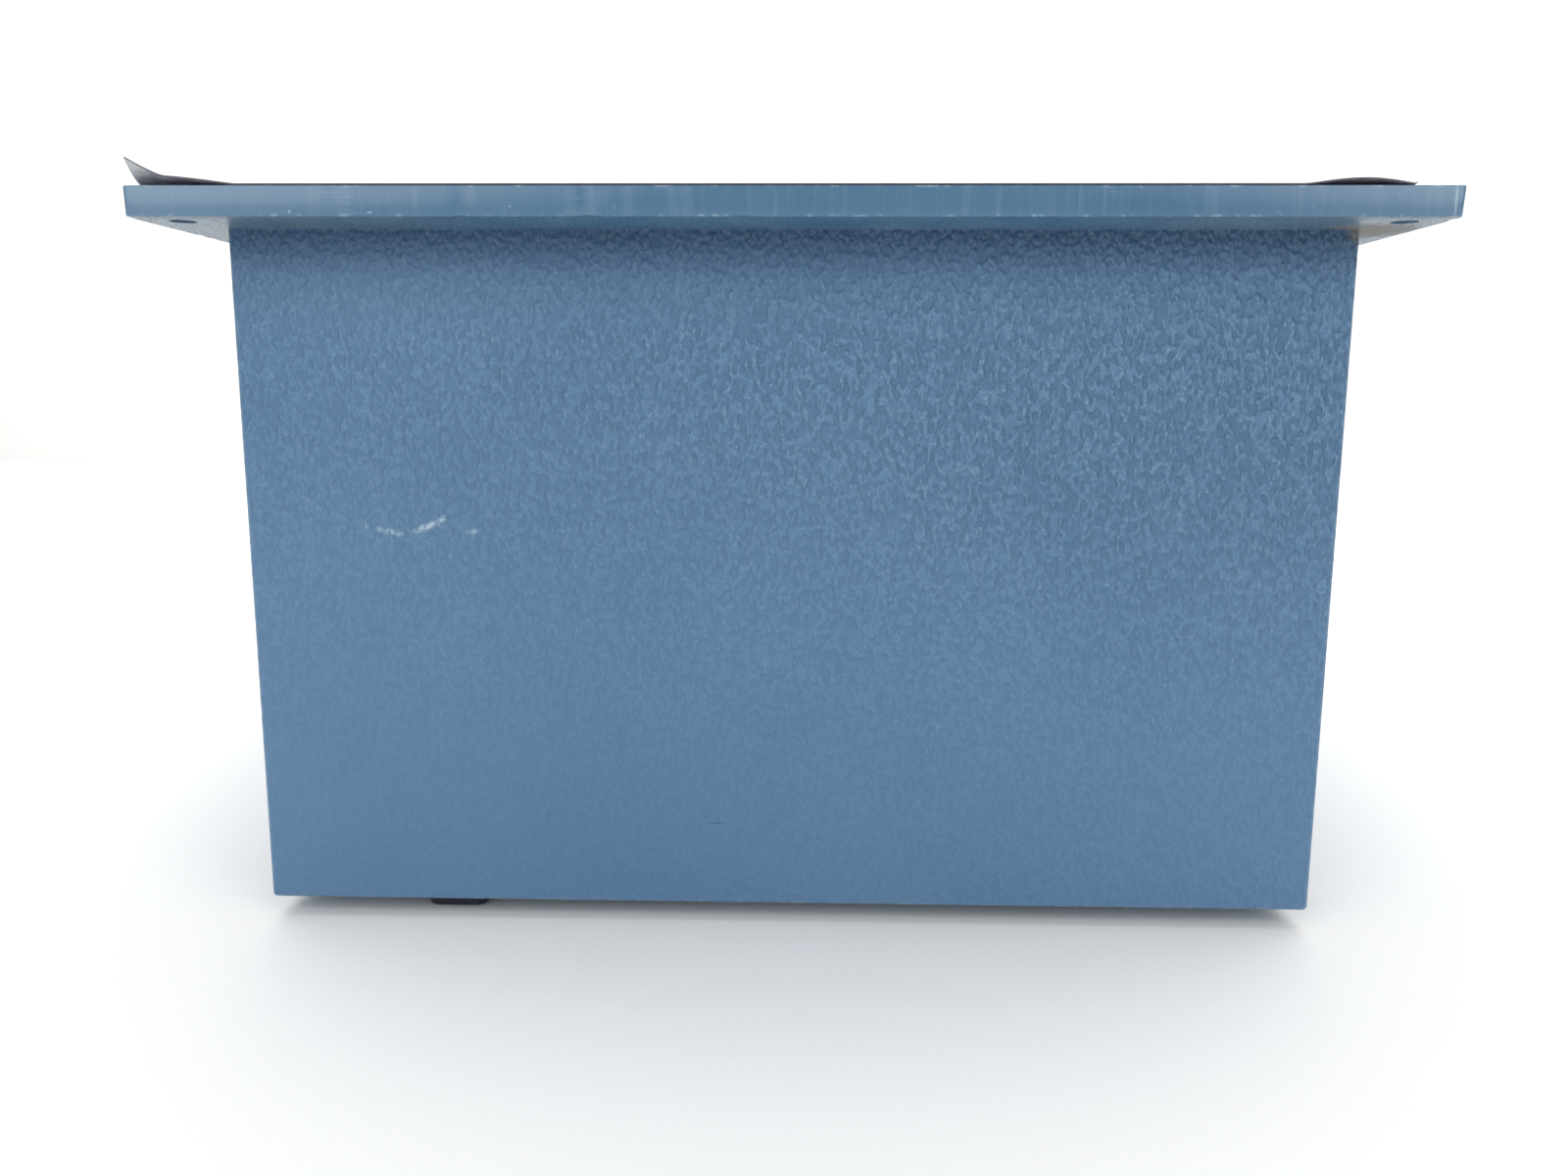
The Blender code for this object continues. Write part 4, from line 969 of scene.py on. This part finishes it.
def make_bypass(looks):
    pivot = Vector(JOINTS["bypass_lever_turn"]["pos_m"])
    low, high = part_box("bypass_shaft")
    shaft = rod(0.0045, high.x - low.x, ((low.x + high.x) / 2, pivot.y, pivot.z), ACROSS_X, segments=64)
    cams = []
    rate = CARRIAGE_TRAVEL / LEVER_TURN
    for sign in SIDES.values():
        points = []
        for i in range(41):
            turn = math.radians(105) * i / 40
            reach = 0.0055 + rate * turn
            angle = turn - math.pi / 2
            points.append((reach * math.cos(angle) - rate * math.sin(angle),
                           reach * math.sin(angle) + rate * math.cos(angle)))
        points += arc((0, 0), 0.0055, 110, 270, 24)
        cams.append(placed(outline(points, 0.008), (sign * 0.018, pivot.y, pivot.z), IN_YZ))
    shaft = carve(shaft, gathered(cams), "UNION")
    flat = block((0.006, 0.02, 0.002), (low.x, pivot.y, pivot.z + 0.0045))
    piece("bypass_cam_shaft", carve(shaft, flat), looks["nylon"], "bypass_shaft", soften=0.0003)

    for side in SIDES:
        node = f"bypass_bearing_{side}"
        low, high, middle = extent(node)
        half, height = (high.y - low.y) / 2, high.z - low.z
        points = [(-half, 0), (half, 0)] + arc((0, height - half), half, 0, 180, 32)
        mesh = placed(outline(points, high.x - low.x), (middle.x, middle.y, low.z), IN_YZ)
        mesh = carve(mesh, rod(0.0048, 0.03, (middle.x, pivot.y, pivot.z), ACROSS_X))
        dish = turned([(0.0075, 0.0008), (0.0075, -0.0008), (0.0062, -0.0008), (0.0062, 0.0008)], 64)
        for x in (low.x, high.x):
            mesh = carve(mesh, placed(dish.copy(), (x, pivot.y, pivot.z), ACROSS_X))
        piece(f"shaft_bearing_{side}", mesh, looks["phenolic"], node, soften=0.0004)


def make_lever(looks):
    pivot = Vector(JOINTS["bypass_lever_turn"]["pos_m"])
    low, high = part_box("bypass_lever")
    grip = middle_of("lever_grip")
    arm = Vector((grip.y - pivot.y, grip.z - pivot.z))
    reach, lean = arm.length, math.atan2(arm.y, arm.x)
    points = arc((0, 0), 0.0075, 50, 310, 48) + arc((reach, 0), 0.0045, -80, 80, 24)
    turn = Matrix.Rotation(lean, 2)
    points = [tuple(turn @ Vector(p)) for p in points]
    mesh = placed(outline(points, high.x - low.x), ((low.x + high.x) / 2, pivot.y, pivot.z), IN_YZ)
    ends = arc((reach * 0.36, 0), 0.0014, 90, 270, 12) + arc((reach * 0.7, 0), 0.0014, -90, 90, 12)
    slot = placed(outline(ends, 0.004), FLAT, (0, 0, lean))
    mesh = carve(mesh, placed(slot, (high.x, pivot.y, pivot.z), IN_YZ))
    piece("bypass_handle_arm", mesh, looks["zinc"], "bypass_lever", soften=0.0005)
    crown = filleted([(0, 0.0009), (0.0034, 0.0009), (0.0042, 0)], 0.0006, closed=False)
    cap = placed(turned(crown + [(0, 0)], 48), (high.x, pivot.y, pivot.z), ACROSS_X)
    piece("bypass_shaft_cap", cap, looks["zinc"], body="bypass_lever", slot="zinc")

    low, high, grip = extent("lever_grip")
    radius, length, flutes = (high.z - low.z) / 2, high.x - low.x, 20
    points = []
    for i in range(flutes * 6):
        angle = 2 * math.pi * i / (flutes * 6)
        r = radius - 0.0002 + 0.0002 * math.cos(flutes * angle)
        points.append((r * math.cos(angle), r * math.sin(angle)))
    mesh = placed(outline(points, length), grip, ACROSS_X)
    piece("fluted_lever_grip", mesh, looks["grip"], "lever_grip", soften=0.0006)


def make_carriage(looks):
    low, high, middle = extent("bypass_carriage")
    mesh = block(high - low, middle)
    holes = [rod(0.0026, 0.02, (x, 0, middle.z), segments=32) for x in SPRING_PLACES]
    holes += [block((0.020, 0.009, 0.0024), (x, 0, high.z)) for x in (-0.035, 0.035)]
    mesh = carve(mesh, gathered(holes))
    piece("bypass_crosshead", mesh, looks["phenolic"], "bypass_carriage", soften=0.0004)
    for side in SIDES:
        node = f"bypass_contact_{side}"
        low, high, middle = extent(node)
        reach, half = high.y, 0.0016
        pad = high.z - low.z - 2 * half
        foot = -2 * half - pad
        arm = [(reach, 0), (reach, foot), (reach - 0.006, foot), (reach - 0.007, -2 * half)]
        points = filleted([(-y, z) for y, z in arm[::-1]] + arm, 0.0005)
        mesh = placed(outline(points, high.x - low.x), (middle.x, 0, high.z), IN_YZ)
        piece(f"bypass_bridge_{side}", mesh, looks["tinned"], node, soften=0.0002)


def make_springs(look):
    """Compression springs with closed ends, made at one length, though in the enclosure they shorten as the
    carriage comes down.
    """
    wire, coil, steps, dead, live = 0.00045, 0.0037, 24, 1.0, 4.0
    for side in SIDES:
        low, high, middle = extent(f"bypass_spring_{side}")
        bottom, top = low.z + wire, high.z - wire
        curve = bpy.data.curves.new("spring", "CURVE")
        curve.dimensions = "3D"
        curve.bevel_depth = wire
        curve.bevel_resolution = 3
        curve.use_fill_caps = True
        spline = curve.splines.new("POLY")
        count = int((live + 2 * dead) * steps)
        spline.points.add(count)
        rest = 2 * wire * dead
        for i, point in enumerate(spline.points):
            turns = i / steps
            share = min(max((turns - dead) / live, 0), 1)
            height = bottom + rest * min(turns / dead, 1) + (top - bottom - 2 * rest) * share
            height += rest * max(turns - dead - live, 0) / dead
            angle = 2 * math.pi * turns
            point.co = (middle.x + coil * math.cos(angle), middle.y + coil * math.sin(angle), height, 1)
        mesh = evaluated(linked("spring", curve))
        spring = piece(f"return_spring_{side}", mesh, look, f"bypass_spring_{side}")
        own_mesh(spring)


# Cover


def rounded_rectangle(half_x, half_y, radius, spacing):
    """Points round a rectangle with rounded corners, evenly spaced along its sides."""
    places = ((1, -1, -90), (1, 1, 0), (-1, 1, 90), (-1, -1, 180))
    inner = Vector((half_x - radius, half_y - radius))
    corners = [arc((sx * inner.x, sy * inner.y), radius, start, start + 90, 6) for sx, sy, start in places]
    points = []
    for corner, following in zip(corners, corners[1:] + corners[:1]):
        last = Vector(corner[-1])
        run = Vector(following[0]) - last
        count = round(run.length / spacing)
        points += corner + [tuple(last + run * i / count) for i in range(1, count)]
    return points


def plate_nicks(points, seed=11, count=34):
    """How deep the lower edge is nicked at each point round the plate."""
    rng = random.Random(seed)
    depth = [0.0] * len(points)
    for _ in range(count):
        middle = Vector(points[rng.randrange(len(points))])
        width, deep = rng.uniform(0.0012, 0.0034), rng.uniform(0.00008, 0.00032)
        for i, point in enumerate(points):
            away = (Vector(point) - middle).length / width
            if away < 1:
                depth[i] = max(depth[i], deep * (1 - away * away))
    return depth


def make_plate(looks):
    """The face plate, its edges eased and its lower edge nicked here and there."""
    half_x, half_y = PLATE_HIGH.x, PLATE_HIGH.y
    levels = [(0.00020, 0), (0.00006, 0.00006), (0, 0.00020)]
    bottom, top = PLATE_LOW.z, PLATE_HIGH.z
    loops = [(inset, bottom + rise, 1.0) for inset, rise in levels]
    loops += [(inset, top - rise, 0.0) for inset, rise in ((0, 0.00030), (0.00009, 0.00009), (0.00030, 0))]
    outer = rounded_rectangle(half_x, half_y, 0.0010, 0.0012)
    nicks = plate_nicks(outer)
    rings = []
    for inset, z, nicked in loops:
        ring = []
        for (x, y), nick in zip(outer, nicks):
            wander = noise.noise(Vector((x, y, z * 2)) * 160) * 0.00006
            pull = inset + nicked * nick + abs(wander)
            x, y = x * (1 - pull / half_x), y * (1 - pull / half_y)
            ring.append((x, y, z + nicked * nick * 0.7))
        rings.append(ring)
    middle = (bottom + top) / 2
    cuts = [rod(0.084, 0.02, (0, 0, middle), segments=160)]
    cuts += [rod(0.0028, 0.02, (x, y, middle), segments=40) for x, y in MOUNT_HOLES]
    sink = [(0.0060, 0.0008), (0.0060, 0.0006), (0.0024, -0.0030), (0.0024, -0.01), (0, -0.01)]
    cuts += [placed(turned([(0, 0.0008)] + sink, 48), (s.x, s.y, top)) for s in FACE_SCREWS]
    mesh = carve(lofted(rings), gathered(cuts))
    looks = [looks["plate_edge"], looks["plate_under"], looks["plate_face"]]
    piece("flange_plate", mesh, looks, "face_plate", pick=by_facing(0.8, up=2, down=1, side=0))


def make_face_screws(look):
    for i, screw in enumerate(FACE_SCREWS, 1):
        low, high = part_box(f"face_screw_{i}")
        head = (high.x - low.x) / 2
        profile = [(0, 0), (head - 0.0003, 0), (head, -0.0003), (0.0021, -0.0026)]
        profile += [(0.0021, low.z - high.z), (0, low.z - high.z)]
        slot = block((head * 3, 0.0011, 0.0024))
        mesh = carve(turned(profile, 48), slot)
        mesh = placed(mesh, (screw.x, screw.y, high.z), (0, 0, math.radians(50 * i)))
        piece(f"cover_screw_{i}", mesh, look, f"face_screw_{i}", sharp=30)


FILM_THICKNESS = 0.0003
FILM_GAP = 0.00005
SHRED_THICKNESS = 0.00012
RING_CLEARANCE = 0.112
TIP_RISE, TIP_LENGTH = 0.0036, 0.008
SHELF_RISE, SHELF_LENGTH = 0.0019, 0.023
CURL_DEPTH = 0.009
BUCKLE_X, BUCKLE_HALF_WIDTH, BUCKLE_DEPTH, BUCKLE_RISE = 0.1190, 0.0125, 0.030, 0.00115


def film_bubbles(seed=4, count=22):
    """Places, half sizes and heights of the blisters in the film, all outside the sealing ring."""
    rng = random.Random(seed)
    found = []
    while len(found) < count:
        place = Vector((rng.uniform(-0.130, 0.118), rng.uniform(-0.165, 0.168)))
        if place.length > RING_CLEARANCE + 0.012:
            found.append((place, rng.uniform(0.003, 0.009), rng.uniform(0.0002, 0.00055)))
    return found


BUBBLES = film_bubbles()


def fading(share):
    """1 at 0, falling to 0 at 1 and beyond it."""
    return max(0.0, 1 - share)


def film_rise(x, y, left, near):
    """Height of the film's underside over the plate: the curled corner, the buckle, blisters and ripples."""
    along, back = max(0.0, x - left), y - near
    tip = TIP_RISE * fading(along / TIP_LENGTH) ** 1.3
    shelf = SHELF_RISE * fading((along / SHELF_LENGTH) ** 2) ** 1.2
    curl = (tip + shelf) * fading(back / (CURL_DEPTH + along / 4)) ** 2
    across = fading(((x - BUCKLE_X) / BUCKLE_HALF_WIDTH) ** 2) ** 1.5
    buckle = BUCKLE_RISE * across * fading(back / BUCKLE_DEPTH) ** 2
    away = Vector((x, y)).length
    free = min(1.0, max(0.0, (away - RING_CLEARANCE) / 0.010)) * min(1.0, back / 0.02)
    ripple = max(0.0, noise.noise(Vector((x * 30, y * 22, 0.5)))) * 0.0004
    blister = 0.0
    for place, size, height in BUBBLES:
        apart = (Vector((x, y)) - place).length / size
        if apart < 1:
            blister = max(blister, height * (1 - apart * apart) ** 2)
    return curl + buckle + (ripple + blister) * free


def eased(start, end, count, power):
    """Values from start to end, closer together near the start."""
    return [start + (end - start) * (i / count) ** power for i in range(count + 1)]


def make_film(looks):
    low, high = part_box("face_film")
    left, right, near, far = low.x, high.x, low.y, high.y
    base = PLATE_HIGH.z + FILM_GAP
    columns = eased(left, 0.08, 90, 1.35) + eased(right, 0.08, 44, 1.0)[-2::-1]
    rows = eased(near, far, 130, 1.5)
    bm = bmesh.new()
    grid = []
    for y in rows:
        line = []
        for x in columns:
            torn = fading((y - near) / 0.020) * max(0.0, (x - 0.120) / (right - 0.120))
            ragged = 0.5 + 0.5 * noise.noise(Vector((y * 900, 2.0, 0.0)))
            edge = -0.0028 * torn * ragged
            fray = noise.noise(Vector((y * 350, x * 2, 7.0))) * 0.00012 * float(x in (left, right))
            line.append(bm.verts.new((x + edge + fray, y, base + film_rise(x, y, left, near))))
        grid.append(line)
    for a, b in zip(grid, grid[1:]):
        for i in range(len(columns) - 1):
            bm.faces.new((a[i], a[i + 1], b[i + 1], b[i]))
    mesh = bpy.data.meshes.new("film")
    bm.to_mesh(mesh)
    bm.free()
    film = thickened(mesh, FILM_THICKNESS)
    for vert in film.vertices:
        vert.co.y = max(vert.co.y, near)
    level = PLATE_HIGH.z
    cuts = [rod(0.092, 0.02, (0, 0, level), segments=160)]
    cuts += [rod(0.0062, 0.02, (s.x, s.y, level), segments=40) for s in FACE_SCREWS]
    film = carve(film, gathered(cuts))
    looks = [looks["film_face"], looks["film_back"], looks["film_edge"]]
    piece("peeling_film", film, looks, "face_film", pick=by_facing(0.3, up=0, down=1, side=2), sharp=50)


def make_torn_edge(look):
    """Pale shreds left on the plate where the film has torn at its near right corner."""
    rng = random.Random(9)
    base = PLATE_HIGH.z + 0.00004
    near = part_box("face_film")[0].y
    shreds = []
    for i in range(9):
        x, y = 0.1283 + rng.uniform(0, 0.0021), near + 0.0009 + i * 0.0016
        length, width = rng.uniform(0.0008, 0.0017), rng.uniform(0.0004, 0.0010)
        rise = rng.uniform(0.0002, 0.0006)
        bm = bmesh.new()
        bmesh.ops.create_grid(bm, x_segments=6, y_segments=4, size=0.5)
        for vert in bm.verts:
            u, v = vert.co.x, vert.co.y
            ragged = noise.noise(Vector((u * 5, v * 5, i * 3.1)))
            lift = rise * max(0.0, 0.5 + u + ragged * 0.7)
            vert.co = (u * length * (1 + ragged * 0.5), v * width * (1 + ragged * 0.6), lift)
        shred = placed(mesh_from(bm), (x, y, base), (0, 0, rng.uniform(-0.9, 0.9)))
        shreds.append(thickened(shred, SHRED_THICKNESS))
    piece("torn_film_shreds", gathered(shreds), look, body="cover", slot="film")


# Meter rim and sealing ring


def make_collar(look):
    low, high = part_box("socket_collar")
    inner, lip, neck, foot = 0.0815, 0.089, 0.0845, high.x
    face, plug = PLATE_HIGH.z, 0.0837
    profile = [(lip, high.z), (lip, face + 0.0045), (neck, face + 0.0045), (neck, face + 0.0017)]
    profile += [(foot, face + 0.0017), (foot, face + 0.0006), (plug, face + 0.0006), (plug, low.z)]
    profile += [(inner, low.z), (inner, high.z)]
    mesh = turned(filleted(profile, 0.0006, steps=4), 192)
    piece("meter_rim", mesh, look, "socket_collar", sharp=50)


def make_ring_half(side, sign, look):
    low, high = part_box("sealing_ring_right")
    radius, bottom, top = high.x, low.z, high.z
    leg, web, bead = 0.0012, high.x - 0.0013, 0.0004
    middle = (bottom + top) / 2
    profile = [(radius, top), (radius, middle + 0.0020), (radius - bead, middle + 0.0012)]
    profile += [(radius - bead, middle - 0.0012), (radius, middle - 0.0020), (radius, bottom)]
    profile += [(0.0862, bottom), (0.0862, bottom + leg), (web, bottom + leg), (web, top - leg)]
    profile += [(0.0850, top - leg), (0.0850, top)]
    ring = turned(filleted(profile, 0.00055, steps=4), 160)
    ring = carve(ring, block((0.12, 0.24, 0.05), (sign * 0.0605, 0, middle)), "INTERSECT")
    hinge = Vector(JOINTS["ring_left_swing"]["pos_m"])
    start = bottom + (0.0002 if side == "left" else 0.0046)
    end = start + 0.0040
    ring = carve(ring, rod(0.0042, end - start, (hinge.x, hinge.y, (start + end) / 2)), "UNION")
    place = (sign * 0.00405, hinge.y + 0.0033, (start + end) / 2)
    ring = carve(ring, block((0.0069, 0.0060, end - start - 0.0002), place), "UNION")
    if side == "left":
        latch = Vector(JOINTS["latch_swing"]["pos_m"])
        shelf = block((0.0080, 0.0090, 0.0016), (latch.x, latch.y - 0.0015, bottom + 0.0010))
        ring = carve(ring, shelf, "UNION")
        post_top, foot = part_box("sealing_ring_left")[1].z, bottom + 0.0006
        post = rod(0.0018, post_top - foot, (latch.x, latch.y, (post_top + foot) / 2))
        ring = carve(ring, post, "UNION")
    ring = carve(ring, rod(0.0021, 0.04, hinge, segments=32))
    piece(f"channel_ring_{side}", ring, look, f"sealing_ring_{side}", sharp=40)


def make_ring_fittings(look):
    low, high, place = extent("ring_hinge_pin")
    length = high.z - low.z
    shank, head, head_height, rise = 0.0018, 0.0030, 0.0007, 0.0005
    profile = dome(shank, length - rise, rise, 6)
    profile += [(shank, head_height), (head, head_height), (head, 0), (0, 0)]
    mesh = placed(turned(profile, 40), (place.x, place.y, low.z))
    piece("hinge_pin_rivet", mesh, look, "ring_hinge_pin")

    pivot = Vector(JOINTS["latch_swing"]["pos_m"])
    low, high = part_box("ring_latch")
    inner, outer, reach = 0.0941 - pivot.y, 0.0966 - pivot.y, 0.016 - pivot.x
    points = [(0.004, inner), (reach, inner), (reach + 0.0022, inner + 0.0040)]
    points += [(reach, inner + 0.0055), (reach - 0.002, outer), (0.0055, outer)]
    points = arc((0, 0), 0.0036, 60, 290, 40) + filleted(points, 0.0009, closed=False)
    middle = Vector((pivot.x, pivot.y, (low.z + high.z) / 2))
    mesh = placed(outline(points, high.z - low.z), middle)
    mesh = carve(mesh, rod(0.0021, 0.04, pivot, segments=32))
    seal = rod(0.0011, 0.02, (pivot.x + reach - 0.006, pivot.y, middle.z), IN_XZ, segments=24)
    piece("seal_latch", carve(mesh, seal), look, "ring_latch", soften=0.0004)


# Camera, light and floor


def make_camera():
    """The view along the enclosure's length, from a little right of its middle and below the plate."""
    data = bpy.data.cameras.new("camera")
    data.sensor_width = 36
    data.lens = 27.51
    camera = linked("camera", data)
    camera.location = (0.0060, -0.4362, 0.1286)
    camera.rotation_euler = [math.radians(angle) for angle in (80.748, -0.220, 1.383)]
    bpy.context.scene.camera = camera


def softbox(name, place, target, width, height, power):
    """A soft white rectangle of light aimed at target, itself out of the picture."""
    data = bpy.data.lights.new(name, "AREA")
    data.shape = "RECTANGLE"
    data.size = width
    data.size_y = height
    data.energy = power
    light = linked(name, data)
    light.location = place
    light.rotation_euler = (Vector(target) - Vector(place)).to_track_quat("-Z", "Y").to_euler()
    light.visible_camera = False


def make_studio():
    """A pale floor running up into a pale backdrop, lit from both front sides and from above."""
    look = floor_look()
    ground = CAD_BOUNDS[0].z - 0.0001
    floor = block((12, 8, 0.01), (0, -2.2, ground - 0.005))
    backdrop = block((12, 0.01, 5), (0, 1.8, ground + 2.49))
    for name, mesh in (("floor", floor), ("backdrop", backdrop)):
        stage = linked(name, mesh)
        mesh.materials.append(look)
    world = bpy.data.worlds.new("studio")
    world.use_nodes = True
    world.node_tree.nodes["Background"].inputs["Color"].default_value = (1, 1, 1, 1)
    world.node_tree.nodes["Background"].inputs["Strength"].default_value = 0.38
    bpy.context.scene.world = world
    bpy.context.scene.view_settings.view_transform = "Standard"
    middle = (0, 0, 0.08)
    softbox("left_softbox", (-0.85, -1.40, 0.82), middle, 1.0, 1.3, 12.1)
    softbox("right_softbox", (1.05, -1.35, 0.82), middle, 1.0, 1.3, 12.1)
    softbox("top_softbox", (0, 0.25, 1.5), middle, 2.4, 1.8, 24)
    softbox("backdrop_softbox", (0, 0.6, 1.5), (0, 1.8, 0.2), 5.0, 0.5, 36)


def all_looks():
    return {
        "leather": leather_look(),
        "inside": galvanised_look(),
        "plate_edge": plate_edge_look(),
        "plate_under": plate_under_look(),
        "plate_face": plate_face_look(),
        "film_face": film_face_look(),
        "film_back": film_back_look(),
        "film_edge": film_edge_look(),
        "torn": torn_look(),
        "rim": turned_metal("stainless_turned", (0.50, 0.50, 0.49), 0.28),
        "ring": turned_metal("stainless_rolled", (0.52, 0.52, 0.51), 0.33),
        "fitting": brushed_metal("stainless_fitting", (0.50, 0.50, 0.49), 0.30, (60, 2200, 2200)),
        "spring": brushed_metal("spring_steel", (0.42, 0.41, 0.40), 0.34, (900, 900, 90)),
        "zinc": zinc_look(),
        "tinned": brushed_metal("tinned_copper", (0.52, 0.50, 0.47), 0.38, (1500, 80, 80)),
        "copper": copper_look(),
        "lug": brushed_metal("lug_aluminium", (0.53, 0.54, 0.55), 0.36, (1800, 50, 1800)),
        "phenolic": moulded_look("black_phenolic", (0.016, 0.014, 0.013), (0.045, 0.040, 0.036), 0.42),
        "nylon": moulded_look("black_nylon", (0.011, 0.013, 0.026), (0.024, 0.028, 0.050), 0.38, dust=0.10),
        "grip": grip_look(),
    }


def main():
    make_camera()
    make_studio()
    looks = all_looks()
    make_box([looks["leather"], looks["inside"]])
    make_bushing(looks["nylon"])
    make_brackets(looks["zinc"])
    make_base(looks)
    make_jaws(looks)
    make_straps(looks)
    make_lugs(looks)
    make_neutral(looks)
    make_bypass(looks)
    make_lever(looks)
    make_carriage(looks)
    make_springs(looks["spring"])
    make_plate(looks)
    make_face_screws(looks["zinc"])
    make_film(looks)
    make_torn_edge(looks["torn"])
    make_collar(looks["rim"])
    for side, sign in SIDES.items():
        make_ring_half(side, sign, looks["ring"])
    make_ring_fittings(looks["fitting"])


main()
